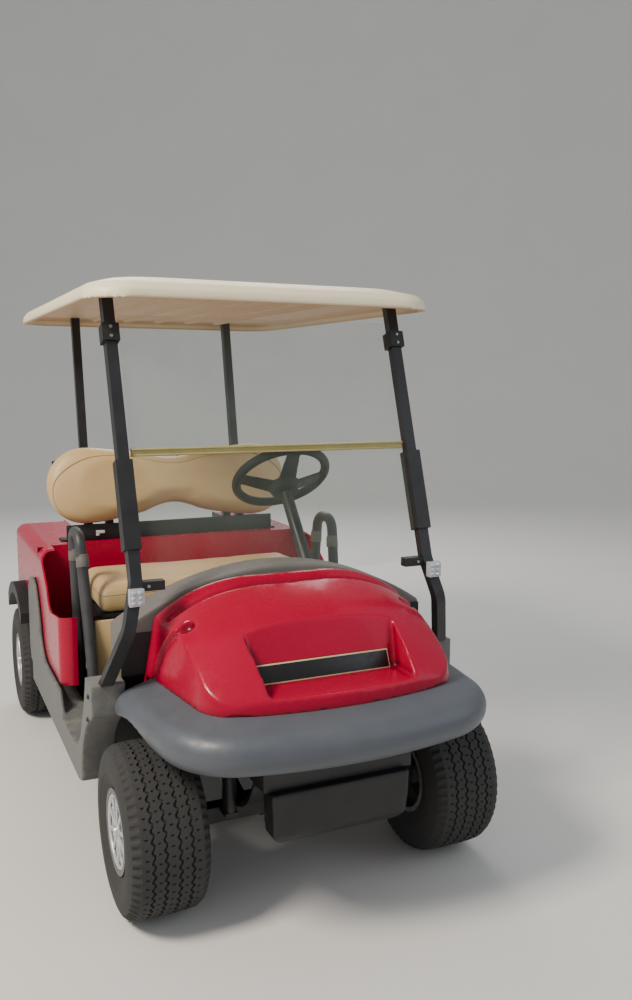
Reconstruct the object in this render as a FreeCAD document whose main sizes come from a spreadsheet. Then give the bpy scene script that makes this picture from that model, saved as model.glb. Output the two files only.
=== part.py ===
"""Two-seat golf cart with a canopy, a two-pane windscreen and a lifting seat.

Millimetres, +Z up. The cart faces -Y, and +X is its own left, the driver's side.
The origin is on the ground under the middle of the cart's bounding box.
"""
import FreeCAD
import Part
import Sketcher
import math
import os

Vec = FreeCAD.Vector

# Driving sizes: name, value in mm (degrees where the name ends in angle), meaning.
SIZES = (
    ("overall_length", 2330, "front bumper to rear bumper"),
    ("overall_width", 1200, "across the rear wheel flares"),
    ("overall_height", 1718, "ground to the top of the canopy"),
    ("front_overhang", 423, "front axle to the nose"),
    ("wheelbase", 1664, "front axle to rear axle"),
    ("front_track", 880, "between the front wheel centres"),
    ("rear_track", 980, "between the rear wheel centres"),
    ("tyre_radius", 228.6, "rolling radius"),
    ("tyre_width", 216, "section width"),
    ("tread_width", 176, "flat tread band"),
    ("shoulder_drop", 14, "tread to the widest point's shoulder"),
    ("bead_radius", 103, "tyre bore"),
    ("bead_width", 178, "across the beads"),
    ("seating_gap", 0.3, "between a piece and the curved or moving one it sits on"),
    ("rim_flange_radius", 113, "outer edge of the rim"),
    ("rim_flange_width", 196, "across the rim flanges"),
    ("rim_wall", 4, "rim barrel thickness"),
    ("rim_well_depth", 16, "drop centre below the bead seat"),
    ("wheel_disc_offset", 14, "wheel centre to the disc's mounting face"),
    ("wheel_disc_thickness", 7, "disc of the rim"),
    ("wheel_dish", 34, "how far the spokes bulge outwards"),
    ("spoke_count", 10, "spokes of a rim"),
    ("spoke_window_inner", 40, "inner end of the window between spokes"),
    ("spoke_window_outer", 82, "outer end of the window between spokes"),
    ("hub_radius", 32, "hub outside"),
    ("hub_inner_reach", 74, "wheel centre to the hub's inner end"),
    ("spindle_radius", 12.5, "front stub axle"),
    ("running_gap", 0.1, "radial clearance of a turning fit"),
    ("kingpin_inset", 120, "wheel centre to the kingpin"),
    ("kingpin_radius", 11, "kingpin"),
    ("kingpin_boss_radius", 21, "boss at the beam's end"),
    ("kingpin_boss_height", 92, "boss at the beam's end"),
    ("knuckle_gap", 1, "between boss and knuckle ears"),
    ("knuckle_plate", 12, "thickness of the knuckle's ears and back"),
    ("knuckle_width", 46, "knuckle, front to back"),
    ("knuckle_back_inset", 26, "kingpin to the knuckle's back plate"),
    ("steering_arm_length", 110, "kingpin to the tie rod's ball"),
    ("steering_arm_width", 22, "steering arm"),
    ("ball_gap", 2.5, "steering arm up to the underside of the tie rod"),
    ("tie_rod_radius", 9, "rack bar and tie rods"),
    ("tie_rod_eye_radius", 14, "tie rod end"),
    ("tie_rod_eye_lip", 1, "how far a tie rod end stands above the rod"),
    ("rack_housing_radius", 24, "rack housing"),
    ("rack_housing_half", 130, "half length of the rack housing"),
    ("beam_depth", 46, "front axle beam, front to back"),
    ("beam_height", 44, "front axle beam"),
    ("rail_half_spacing", 190, "middle of the cart to a frame rail"),
    ("rail_width", 50, "frame rail"),
    ("rail_height", 50, "frame rail"),
    ("rail_bottom", 244, "ground to the rails under the floor"),
    ("rail_front_rise", 140, "how far the rails step up over the front axle"),
    ("rail_rear_rise", 160, "how far the rails step up over the rear axle"),
    ("rail_front_end", 1000, "middle of the cart to the rails' front ends"),
    ("rail_rear_end", 1125, "middle of the cart to the rails' rear ends"),
    ("floor_thickness", 6, "floor pan"),
    ("floor_half_width", 478, "floor pan"),
    ("floor_front", 418, "middle of the cart to the toe board's foot"),
    ("toe_board_top", 470, "ground to the toe board's top"),
    ("toe_board_front", 545, "middle of the cart to the toe board's top"),
    ("firewall_front", 590, "middle of the cart to the firewall"),
    ("mat_thickness", 5, "rubber floor mat"),
    ("mat_margin", 54, "floor edge to the mat"),
    ("cowl_base", 600, "ground to the seam of cowl and bumper"),
    ("cowl_flange", 40, "how far the cowl reaches down behind the bumper's edge"),
    ("cowl_seam_inset", 94, "bumper's outer line in to the cowl's foot"),
    ("cowl_side_lean", 56, "how far the cowl's sides lean in at the crown"),
    ("cowl_rim_width", 46, "raised band along the cowl's rear edge"),
    ("cowl_groove_width", 34, "groove in front of that band"),
    ("cowl_groove_depth", 15, "groove below the band"),
    ("cowl_crown", 862, "ground to the top of the cowl"),
    ("cowl_half_width", 500, "cowl at its foot"),
    ("cowl_nose", 1068, "middle of the cart to the cowl's nose"),
    ("recess_foot_half", 206, "recess of the name plate, at its shelf"),
    ("recess_head_half", 224, "recess of the name plate, at its upper end"),
    ("recess_foot", 640, "ground to the recess's shelf"),
    ("recess_head", 790, "ground to the recess's upper end"),
    ("recess_face", 925, "middle of the cart to the recess's face"),
    ("recess_lean_angle", 24, "the recess's face from upright"),
    ("dash_depth", 120, "dash, front to back"),
    ("dash_rise", 16, "dash above the cowl"),
    ("dash_side_margin", 20, "cowl's side in to the dash"),
    ("dash_foot", 30, "cowl's seam up to the dash's underside"),
    ("dash_arch", 150, "how far the dash's top drops to its ends"),
    ("shelf_wall", 30, "dash left beside an open shelf"),
    ("dash_pocket_depth", 80, "open shelf in the dash"),
    ("bumper_bottom", 484, "ground to the bumper's lower edge"),
    ("bumper_half_width", 512, "front bumper"),
    ("bumper_wall", 118, "front bumper, from its face in to the frame"),
    ("bumper_crest", 532, "ground to the bumper's outermost line"),
    ("bumper_round", 54, "rounding of the bumper's face"),
    ("bumper_top_angle", 17, "slope of the bumper's top"),
    ("bumper_tuck_angle", 62, "how far the bumper's face turns under"),
    ("bumper_nose_radius", 1250, "bow of the bumper's nose in plan"),
    ("bumper_corner_radius", 225, "bumper's corners in plan"),
    ("bumper_taper_angle", 8, "bumper's sides lean in towards the nose, in plan"),
    ("bumper_rear", 640, "middle of the cart to the bumper's rear ends"),
    ("bumper_trim", 24, "bumper's rear ends before they are trimmed"),
    ("front_arch_radius", 290, "wheel arch"),
    ("front_arch_rise", 8, "arch centre above the axle"),
    ("lower_cover_half_width", 200, "cover between the front wheels"),
    ("lower_cover_bottom", 240, "ground to that cover"),
    ("lower_cover_depth", 74, "cover, front to back"),
    ("rocker_outer", 572, "middle of the cart to the rocker's outside"),
    ("rocker_bottom", 240, "ground to the rocker"),
    ("rocker_top", 400, "ground to the rocker's upper edge under the red panel"),
    ("rocker_step", 330, "ground to the step beside the floor"),
    ("body_half_width", 556, "rear body"),
    ("body_panel", 7, "rear body's wall"),
    ("body_front", 20, "middle of the cart to the body's front edge"),
    ("body_rear", 1132, "middle of the cart to the body's tail"),
    ("body_deck", 790, "ground to the rear deck"),
    ("body_shoulder", 46, "rounding of the body's shoulder"),
    ("bulkhead_front", 498, "middle of the cart to the wall behind the seat"),
    ("seat_opening_half_width", 500, "opening between the side panels"),
    ("side_dip", 606, "ground to the lowest point of the side panel's edge"),
    ("rear_arch_radius", 292, "wheel arch"),
    ("well_half_width", 352, "bag well"),
    ("well_front", 690, "middle of the cart to the bag well"),
    ("well_floor", 500, "ground to the bag well's floor"),
    ("well_wall", 5, "bag well tray"),
    ("flare_width", 44, "radial width of the rear wheel flare"),
    ("rear_bumper_height", 96, "rear bumper"),
    ("rear_bumper_bottom", 400, "ground to the rear bumper"),
    ("rear_bumper_half_width", 430, "rear bumper"),
    ("skirt_front", 8, "middle of the cart to the skirt's face"),
    ("skirt_half_width", 438, "panel under the seat"),
    ("skirt_thickness", 12, "panel under the seat"),
    ("seat_half_width", 428, "seat cushion"),
    ("seat_front", 2, "middle of the cart to the seat's front"),
    ("seat_rear", 408, "middle of the cart to the seat's rear"),
    ("seat_top", 716, "ground to the top of the cushion"),
    ("seat_thickness", 92, "seat cushion"),
    ("seat_base_thickness", 14, "seat base"),
    ("seat_round", 34, "rounding of the cushion's edges"),
    ("seat_hinge_rear", 432, "middle of the cart to the seat's hinge"),
    ("seat_pin_radius", 5, "hinge pin of the seat"),
    ("seat_knuckle_radius", 11, "hinge knuckle of the seat"),
    ("back_half_width", 512, "seat back"),
    ("back_bottom", 852, "ground to the seat back"),
    ("back_top", 1184, "ground to the top of the seat back"),
    ("back_front", 512, "middle of the cart to the seat back's face"),
    ("back_thickness", 100, "seat back cushion"),
    ("back_edge_inset", 30, "how far the seat back's faces stand in from its outline"),
    ("back_notch_top", 34, "dip in the middle of the top edge"),
    ("back_notch_bottom", 52, "rise in the middle of the lower edge"),
    ("back_lean_angle", 10, "seat back from upright"),
    ("back_frame_bar", 30, "seat back frame's square bar"),
    ("back_post_half_spacing", 250, "middle of the cart to a post of that frame"),
    ("back_post_height", 1120, "ground to the posts' top"),
    ("back_bar_height", 1000, "ground to the frame's cross bar"),
    ("restraint_radius", 19, "hip restraint tube"),
    ("restraint_half_spacing", 450, "middle of the cart to the hip restraint's feet"),
    ("restraint_bow", 22, "how far the hip restraint bows out"),
    ("restraint_bend", 52, "bends of the hip restraint"),
    ("restraint_top", 918, "ground to the hip restraint's top"),
    ("strut_size", 32, "canopy strut, square"),
    ("strut_half_spacing", 452, "middle of the cart to a front strut, at its bend"),
    ("strut_rake_angle", 18.72, "front strut's upper run from upright"),
    ("strut_bend", 668, "middle of the cart to a front strut's bend"),
    ("strut_bend_height", 880, "ground to that bend"),
    ("strut_knee_height", 762, "ground to the lower bend"),
    ("strut_spread", 5, "how far the front struts spread from bend to canopy"),
    ("rear_strut_half_spacing", 325, "middle of the cart to a rear strut"),
    ("rear_strut_foot", 668, "middle of the cart to a rear strut, at the deck"),
    ("rear_strut_head", 842, "middle of the cart to a rear strut, at the canopy"),
    ("strut_end_depth", 21, "canopy's top down to the struts' ends"),
    ("canopy_half_width", 538, "canopy"),
    ("canopy_front", 590, "middle of the cart to the canopy's front"),
    ("canopy_rear", 905, "middle of the cart to the canopy's rear"),
    ("canopy_skirt", 80, "height of the canopy"),
    ("canopy_wall", 14, "canopy shell"),
    ("canopy_corner", 120, "corner rounding in plan"),
    ("canopy_edge_round", 34, "canopy's top down to the foot of its rounded edge"),
    ("canopy_crown", 15, "canopy's top above its shoulder"),
    ("canopy_wall_height", 26, "upright part of the canopy's edge"),
    ("canopy_rib_width", 18, "rib under the canopy"),
    ("canopy_rib_depth", 16, "rib below the canopy's ceiling"),
    ("canopy_rib_pitch", 130, "between ribs under the canopy"),
    ("canopy_ribs", 5, "ribs under the canopy, front to back"),
    ("pane_thickness", 5, "windscreen pane"),
    ("pane_half_width", 428, "windscreen pane"),
    ("pane_foot", 872, "ground to the lower pane's foot"),
    ("pane_hinge", 1222, "ground to the windscreen's hinge"),
    ("pane_head", 34, "canopy's lower edge down to the upper pane's head"),
    ("hinge_strip_height", 22, "windscreen hinge"),
    ("hinge_strip_depth", 13, "windscreen hinge"),
    ("clip_width", 54, "clip on the windscreen's foot"),
    ("clip_height", 26, "clip on the windscreen's foot"),
    ("clip_depth", 29, "windscreen clip, front to back"),
    ("clamp_height", 48, "clamp of the upper pane"),
    ("clamp_wall", 8, "clamp round the strut"),
    ("clamp_drop", 56, "upper pane's head down to the clamp's middle"),
    ("sleeve_foot", 965, "ground to the strut sleeve"),
    ("sleeve_length", 235, "strut sleeve"),
    ("sleeve_wall", 7, "strut sleeve"),
    ("steering_wheel_x", 200, "middle of the cart to the steering column"),
    ("steering_wheel_y", 112, "middle of the cart to the steering wheel"),
    ("steering_wheel_z", 1086, "ground to the steering wheel"),
    ("steering_wheel_radius", 160, "to the middle of the rim's section"),
    ("steering_hub_radius", 58, "pad in the middle of the steering wheel"),
    ("steering_hub_drop", 34, "rim down to the hub"),
    ("steering_hub_height", 30, "hub"),
    ("steering_spoke_thickness", 12, "spoke"),
    ("column_length", 680, "column tube below the wheel"),
    ("steering_grip_radius", 16, "rim section"),
    ("column_angle", 40, "steering column from upright"),
    ("column_radius", 21, "column tube"),
    ("shaft_radius", 9, "steering shaft"),
    ("axle_tube_radius", 32, "rear axle"),
    ("differential_radius", 82, "rear axle's middle housing"),
    ("motor_ahead", 172, "rear axle to the motor's centre line"),
    ("motor_radius", 88, "drive motor"),
    ("motor_length", 250, "drive motor"),
    ("leaf_width", 45, "leaf spring"),
    ("rear_spring_half_spacing", 285, "middle of the cart to a rear spring"),
    ("leaf_thickness", 16, "spring pack"),
    ("damper_radius", 20, "shock absorber body"),
    ("damper_stand", 8, "front beam to the shock absorber"),
    ("damper_lug_thickness", 10, "lug under the shock absorber"),
    ("battery_front", 40, "middle of the cart to the battery block"),
    ("battery_length", 330, "battery block, front to back"),
    ("battery_height", 262, "battery block"),
    ("battery_half_width", 400, "battery block"),
    ("hitch_hole_radius", 6.5, "holes in the rear cross member"),
    ("hitch_hole_spacing", 100, "between those holes"),
    ("rack_height", 1075, "ground to the bag rack's middle"),
    ("rack_bar_height", 30, "bag rack's bar"),
    ("rack_bar_depth", 24, "bag rack's bar, front to back"),
    ("rack_half_width", 440, "bag rack"),
    ("rack_plate_half", 90, "half width of a strap plate"),
    ("rack_plate_spacing", 340, "between the strap plates' middles"),
)

doc = FreeCAD.newDocument("GolfCart")
sheet = doc.addObject("Spreadsheet::Sheet", "dim")
for row, (alias, value, meaning) in enumerate(SIZES, start=1):
    sheet.set(f"A{row}", meaning)
    sheet.set(f"B{row}", str(value))
    sheet.setAlias(f"B{row}", alias)
doc.recompute()

pieces = []


def size(alias):
    """A driving size, read from the sheet."""
    return float(sheet.get(alias))


def new_body(label):
    """An empty body, which may hold a mirrored pair."""
    piece = doc.addObject("PartDesign::Body", label)
    piece.Label = label
    piece.AllowCompound = True
    pieces.append(piece)
    return piece


def new_sketch(piece, role, offset="0"):
    """A sketch on one of the body's own planes, moved along its normal."""
    sketch = piece.newObject("Sketcher::SketchObject", piece.Name + "_sketch")
    plane = next(f for f in piece.Origin.OriginFeatures if f.Role == role)
    sketch.AttachmentSupport = [(plane, "")]
    sketch.MapMode = "FlatFace"
    sketch.setExpression("AttachmentOffset.Base.z", offset)
    return sketch


def place_point(sketch, line, horizontal, vertical):
    """Ties the start of a line to two expressions, measured from the sketch's origin."""
    for kind, rule in (("DistanceX", horizontal), ("DistanceY", vertical)):
        index = sketch.addConstraint(Sketcher.Constraint(kind, -1, 1, line, 1, 1.0))
        sketch.setExpression(f"Constraints[{index}]", rule)


def outline(sketch, corners):
    """A closed outline of straight lines through corners given as expressions."""
    first = sketch.GeometryCount
    count = len(corners)
    for step in range(count):
        turn = 2 * math.pi * step / count
        following = 2 * math.pi * (step + 1) / count
        start = Vec(math.cos(turn), math.sin(turn), 0)
        end = Vec(math.cos(following), math.sin(following), 0)
        sketch.addGeometry(Part.LineSegment(start, end))
    for step in range(count):
        after = first + (step + 1) % count
        sketch.addConstraint(Sketcher.Constraint("Coincident", first + step, 2, after, 1))
    for step, (horizontal, vertical) in enumerate(corners):
        place_point(sketch, first + step, horizontal, vertical)


def pad(piece, sketch, length, midplane=False, reverse=False):
    """Pushes a sketch out to a solid."""
    feature = piece.newObject("PartDesign::Pad", piece.Name + "_pad")
    feature.Profile = sketch
    feature.setExpression("Length", length)
    feature.Midplane = midplane
    feature.Reversed = reverse
    doc.recompute()
    return feature


def pocket(piece, sketch, length, midplane=False, reverse=False):
    """Cuts a sketch into the solid, and makes sure that it removes something."""
    before = piece.Shape.Volume
    feature = piece.newObject("PartDesign::Pocket", piece.Name + "_pocket")
    feature.Profile = sketch
    feature.setExpression("Length", length)
    feature.Midplane = midplane
    feature.Reversed = reverse
    doc.recompute()
    if piece.Shape.Volume >= before:
        raise ValueError(f"{piece.Label}: a pocket removes nothing")
    return feature


def revolve(piece, sketch, axis="V_Axis"):
    """Turns a sketch round one of its own axes."""
    feature = piece.newObject("PartDesign::Revolution", piece.Name + "_turned")
    feature.Profile = sketch
    feature.ReferenceAxis = (sketch, [axis])
    feature.Angle = 360
    doc.recompute()
    return feature


def finished_shape(label, shape):
    """A sub-part whose shape is built with Part's own functions."""
    piece = doc.addObject("Part::Feature", label)
    piece.Label = label
    piece.Shape = shape
    pieces.append(piece)
    return piece


def both_sides(shape):
    """The shape and its mirror image in the cart's middle plane."""
    return Part.makeCompound([shape, shape.mirror(Vec(0, 0, 0), Vec(1, 0, 0))])


def polygon_prism(points, push):
    """A solid from a closed outline of points, pushed along a vector."""
    wire = Part.makePolygon([Vec(*point) for point in points] + [Vec(*points[0])])
    return Part.Face(wire).extrude(Vec(*push))


def block(low, high):
    """A box between two corners."""
    spans = [b - a for a, b in zip(low, high)]
    return Part.makeBox(spans[0], spans[1], spans[2], Vec(*low))


def rod(start, end, radius):
    """A round bar between two points."""
    along = Vec(*end) - Vec(*start)
    return Part.makeCylinder(radius, along.Length, Vec(*start), along)


def rounded_path(points, radii):
    """A wire of straight runs with a tangent arc at every inner point."""
    corners = [Vec(*point) for point in points]
    edges = []
    start = corners[0]
    for before, corner, after, radius in zip(corners, corners[1:], corners[2:], radii):
        back = (before - corner).normalize()
        ahead = (after - corner).normalize()
        half = back.getAngle(ahead) / 2
        reach = radius / math.tan(half)
        entry = corner + back * reach
        leave = corner + ahead * reach
        inward = (back + ahead).normalize()
        centre = corner + inward * (radius / math.sin(half))
        middle = centre - inward * radius
        edges.append(Part.LineSegment(start, entry).toShape())
        edges.append(Part.Arc(entry, middle, leave).toShape())
        start = leave
    edges.append(Part.LineSegment(start, corners[-1]).toShape())
    return Part.Wire(edges)


def swept_tube(path, radius):
    """A round tube's solid along a path."""
    first = path.Edges[0]
    along = first.tangentAt(first.FirstParameter)
    ring = Part.Wire([Part.makeCircle(radius, first.Vertexes[0].Point, along)])
    return path.makePipeShell([ring], True, False)


def square_bar(points, radii, side, across):
    """A square bar along a path; across is a direction square to its first run."""
    path = rounded_path(points, radii)
    start = Vec(*points[0])
    along = (Vec(*points[1]) - start).normalize()
    wide = Vec(*across)
    wide = (wide - along * wide.dot(along)).normalize()
    deep = along.cross(wide)
    half = side / 2
    corners = [start + wide * (half * a) + deep * (half * b)
               for a, b in ((1, 1), (-1, 1), (-1, -1), (1, -1), (1, 1))]
    return path.makePipeShell([Part.makePolygon(corners)], True, False)


def room_between(low, high):
    """A block as wide and long as the cart between two heights, to trim ends square."""
    half_x = size("overall_width") / 2
    half_y = size("overall_length") / 2
    return block((-half_x, -half_y, low), (half_x, half_y, high))


def front_axle_y():
    """The front axle's place along the cart."""
    return -size("overall_length") / 2 + size("front_overhang")


def rear_axle_y():
    """The rear axle's place along the cart."""
    return front_axle_y() + size("wheelbase")


# Where each wheel stands: label's ending, side of the cart, its track and its axle.
WHEELS = (
    ("front_right", -1, "front_track", front_axle_y),
    ("front_left", 1, "front_track", front_axle_y),
    ("rear_right", -1, "rear_track", rear_axle_y),
    ("rear_left", 1, "rear_track", rear_axle_y),
)


def stand_wheel(piece, side, track, axle):
    """Turns a piece built about its own +Z axis so that +Z points out of the cart."""
    piece.Placement = FreeCAD.Placement(
        Vec(side * size(track) / 2, axle(), size("tyre_radius")),
        FreeCAD.Rotation(Vec(0, 1, 0), side * 90))


def make_tyre(place, side, track, axle):
    """A low, wide tyre with a flat tread, round shoulders and bulging walls."""
    piece = new_body("tyre_" + place)
    sketch = new_sketch(piece, "XZ_Plane")
    half = "dim.tyre_width / 2"
    outline(sketch, (
        ("dim.bead_radius", "-dim.bead_width / 2"),
        ("dim.bead_radius + 14", "-dim.bead_width / 2 - 5"),
        ("(dim.bead_radius + dim.tyre_radius) / 2 - 4", f"-{half}"),
        ("(dim.bead_radius + dim.tyre_radius) / 2 + 22", f"-{half} + 1.5"),
        ("dim.tyre_radius - dim.shoulder_drop", "-dim.tread_width / 2 - 10"),
        ("dim.tyre_radius - 3", "-dim.tread_width / 2 + 8"),
        ("dim.tyre_radius", "-dim.tread_width / 4"),
        ("dim.tyre_radius", "dim.tread_width / 4"),
        ("dim.tyre_radius - 3", "dim.tread_width / 2 - 8"),
        ("dim.tyre_radius - dim.shoulder_drop", "dim.tread_width / 2 + 10"),
        ("(dim.bead_radius + dim.tyre_radius) / 2 + 22", f"{half} - 1.5"),
        ("(dim.bead_radius + dim.tyre_radius) / 2 - 4", half),
        ("dim.bead_radius + 14", "dim.bead_width / 2 + 5"),
        ("dim.bead_radius", "dim.bead_width / 2"),
    ))
    revolve(piece, sketch)
    stand_wheel(piece, side, track, axle)


def make_rim(place, side, track, axle):
    """A pressed rim: barrel with a drop centre, dished disc with windows, and its hub."""
    piece = new_body("wheel_" + place)
    sketch = new_sketch(piece, "XZ_Plane")
    seat = "(dim.bead_radius - dim.seating_gap)"
    inside = f"({seat} - dim.rim_wall)"
    well = f"({seat} - dim.rim_well_depth)"
    edge = "dim.bead_width / 2"
    flange = "dim.rim_flange_width / 2"
    dish = "(dim.wheel_disc_offset + dim.wheel_dish)"
    outline(sketch, (
        (inside, f"-{flange}"),
        ("dim.rim_flange_radius", f"-{flange}"),
        ("dim.rim_flange_radius", f"-{edge} - 6"),
        (seat, f"-{edge} - 6"),
        (seat, f"-{edge} + 26"),
        (well, f"-{edge} + 44"),
        (well, f"{edge} - 44"),
        (seat, f"{edge} - 26"),
        (seat, f"{edge} + 6"),
        ("dim.rim_flange_radius", f"{edge} + 6"),
        ("dim.rim_flange_radius", flange),
        (inside, flange),
        (f"{inside} - 2", f"{dish} + 12"),
        ("dim.spoke_window_outer - 12", dish),
        ("dim.hub_radius + 4", f"{dish} - 12"),
        ("dim.hub_radius + 2", f"{dish} + 6"),
        ("0", f"{dish} + 8"),
        ("0", "dim.wheel_disc_offset + 6"),
        ("dim.spindle_radius + dim.running_gap", "dim.wheel_disc_offset + 6"),
        ("dim.spindle_radius + dim.running_gap", "-dim.hub_inner_reach"),
        ("dim.hub_radius", "-dim.hub_inner_reach"),
        ("dim.hub_radius", "dim.wheel_disc_offset"),
        ("dim.spoke_window_outer - 12", f"{dish} - dim.wheel_disc_thickness"),
        (f"{well} - dim.rim_wall", f"{dish} - dim.wheel_disc_thickness + 4"),
        (f"{well} - dim.rim_wall", f"-{edge} + 46"),
        (inside, f"-{edge} + 28"),
    ))
    revolve(piece, sketch)
    window = new_sketch(piece, "XY_Plane", f"{dish} + 60")
    outline(window, (
        ("dim.spoke_window_inner", "-5"),
        ("dim.spoke_window_outer", "-13"),
        ("dim.spoke_window_outer", "13"),
        ("dim.spoke_window_inner", "5"),
    ))
    cut = pocket(piece, window, "120")
    pattern = piece.newObject("PartDesign::PolarPattern", piece.Name + "_windows")
    pattern.Originals = [cut]
    pattern.Axis = (window, ["N_Axis"])
    pattern.Angle = 360
    pattern.setExpression("Occurrences", "dim.spoke_count")
    piece.Tip = pattern
    doc.recompute()
    stand_wheel(piece, side, track, axle)


def make_knuckle(label, side):
    """A yoke with its kingpin, a stub axle and the steering arm behind the axle."""
    pin_x = size("front_track") / 2 - size("kingpin_inset")
    y = front_axle_y()
    z = size("tyre_radius")
    plate = size("knuckle_plate")
    ear_low = size("kingpin_boss_height") / 2 + size("knuckle_gap")
    half = size("knuckle_width") / 2
    back = pin_x + size("knuckle_back_inset")
    shape = block((back, y - half, z - ear_low - plate), (back + plate, y + half, z + ear_low + plate))
    for low in (-ear_low - plate, ear_low):
        ear = block((pin_x, y - half, z + low), (back, y + half, z + low + plate))
        end = Part.makeCylinder(half, plate, Vec(pin_x, y, z + low))
        shape = shape.fuse(ear).fuse(end)
    pin = rod((pin_x, y, z - ear_low - plate), (pin_x, y, z + ear_low + plate), size("kingpin_radius"))
    wheel_x = size("front_track") / 2
    stub_end = wheel_x + size("wheel_disc_offset")
    stub = rod((back, y, z), (stub_end, y, z), size("spindle_radius"))
    shape = shape.fuse(pin).fuse(stub)
    arm_z = z - ear_low - plate
    arm_half = size("steering_arm_width") / 2
    arm_y = y + size("steering_arm_length")
    arm = block((pin_x - arm_half, y + half - plate, arm_z), (pin_x + arm_half, arm_y, arm_z + plate))
    eye = Part.makeCylinder(size("tie_rod_eye_radius"), plate, Vec(pin_x, arm_y, arm_z))
    shape = shape.fuse(arm).fuse(eye)
    if side < 0:
        shape = shape.mirror(Vec(0, 0, 0), Vec(1, 0, 0))
    finished_shape(label, shape.removeSplitter())


def rack_height():
    """The rack's centre line, a rod end above the steering arms."""
    arm_top = size("tyre_radius") - size("kingpin_boss_height") / 2 - size("knuckle_gap")
    return arm_top + size("ball_gap") + size("tie_rod_radius")


def make_tie_rods():
    """The rack bar with a flat rod end at each steering arm."""
    y = front_axle_y() + size("steering_arm_length")
    z = rack_height()
    reach = size("front_track") / 2 - size("kingpin_inset")
    tall = size("tie_rod_radius") + size("tie_rod_eye_lip")
    bar = rod((-reach, y, z), (reach, y, z), size("tie_rod_radius"))
    for side in (-1, 1):
        eye = Part.makeCylinder(size("tie_rod_eye_radius"), 2 * tall, Vec(side * reach, y, z - tall))
        bar = bar.fuse(eye)
    finished_shape("tie_rods", bar.removeSplitter())


def make_front_axle():
    """The front beam with a kingpin boss at each end, and the rack housing behind it."""
    y = front_axle_y()
    z = size("tyre_radius")
    pin_x = size("front_track") / 2 - size("kingpin_inset")
    half_y = size("beam_depth") / 2
    half_z = size("beam_height") / 2
    reach = pin_x - size("kingpin_boss_radius") / 2
    shape = block((-reach, y - half_y, z - half_z), (reach, y + half_y, z + half_z))
    boss_height = size("kingpin_boss_height")
    for side in (-1, 1):
        foot = Vec(side * pin_x, y, z - boss_height / 2)
        shape = shape.fuse(Part.makeCylinder(size("kingpin_boss_radius"), boss_height, foot))
    for side in (-1, 1):
        foot = Vec(side * pin_x, y, z - boss_height / 2)
        bore = size("kingpin_radius") + size("running_gap")
        shape = shape.cut(Part.makeCylinder(bore, boss_height, foot))
    lug_x = size("rail_half_spacing") + size("rail_width") / 2 + size("damper_radius")
    lug_y = y - half_y - 2 * size("damper_radius") - size("damper_stand")
    lug_low = z + half_z - size("damper_lug_thickness")
    lug = block((lug_x - 18, lug_y, lug_low), (lug_x + 18, y - half_y, z + half_z))
    shape = shape.fuse(both_sides(lug))
    rack_y = y + size("steering_arm_length")
    rack_z = rack_height()
    half = size("rack_housing_half")
    housing = rod((-half, rack_y, rack_z), (half, rack_y, rack_z), size("rack_housing_radius"))
    for side in (-1, 1):
        x = side * (half - 20)
        arm = block((x - 8, y + half_y - 4, rack_z - 14), (x + 8, rack_y, rack_z + 14))
        housing = housing.fuse(arm)
    slide = rod((-half, rack_y, rack_z), (half, rack_y, rack_z),
                size("tie_rod_radius") + size("running_gap"))
    finished_shape("front_axle", shape.fuse(housing).cut(slide).removeSplitter())


def rail():
    """The left frame rail, stepped up over both axles."""
    low = size("rail_bottom")
    high = size("rail_height")
    front = low + size("rail_front_rise")
    rear = low + size("rail_rear_rise")
    step_front = front_axle_y() + 182
    step_rear = rear_axle_y() - 282
    lower = ((-size("rail_front_end"), front), (step_front, front), (step_front + 120, low),
             (step_rear - 100, low), (step_rear, rear), (size("rail_rear_end"), rear))
    profile = [(y, z) for y, z in lower] + [(y, z + high) for y, z in reversed(lower)]
    x = size("rail_half_spacing") - size("rail_width") / 2
    return polygon_prism([(x, y, z) for y, z in profile], (size("rail_width"), 0, 0))


def make_frame():
    """Two box rails, and the cross members between and outside them."""
    rails = both_sides(rail())
    finished_shape("frame_rails", rails)
    low = size("rail_bottom")
    front = low + size("rail_front_rise")
    rear = low + size("rail_rear_rise")
    tail = size("rail_rear_end")
    nose = -size("rail_front_end")
    rail_outer = size("rail_half_spacing") + size("rail_width") / 2
    spring = size("rear_spring_half_spacing") + size("leaf_width") / 2
    wide = size("floor_half_width")
    # Cross members: front edge, half length, bottom, depth.
    members = (
        (nose, rail_outer, front, 50),
        (front_axle_y() + 157, rail_outer, front, 25),
        (-300, wide, low, 50),
        (60, wide, low, 50),
        (400, wide, low, 50),
        (rear_axle_y() - 282, spring, rear, 40),
        (tail - 50, spring, rear, 50),
    )
    bars = None
    for start, reach, bottom, depth in members:
        bar = block((-reach, start, bottom), (reach, start + depth, bottom + size("rail_height")))
        bars = bar if bars is None else bars.fuse(bar)
    plate = block((-90, tail - 8, rear - 60), (90, tail, rear))
    for side in (-1, 1):
        x = side * size("hitch_hole_spacing") / 2
        plate = plate.cut(rod((x, tail - 8, rear - 30), (x, tail, rear - 30), size("hitch_hole_radius")))
    finished_shape("cross_members", bars.fuse(plate).cut(rails).removeSplitter())


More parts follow.
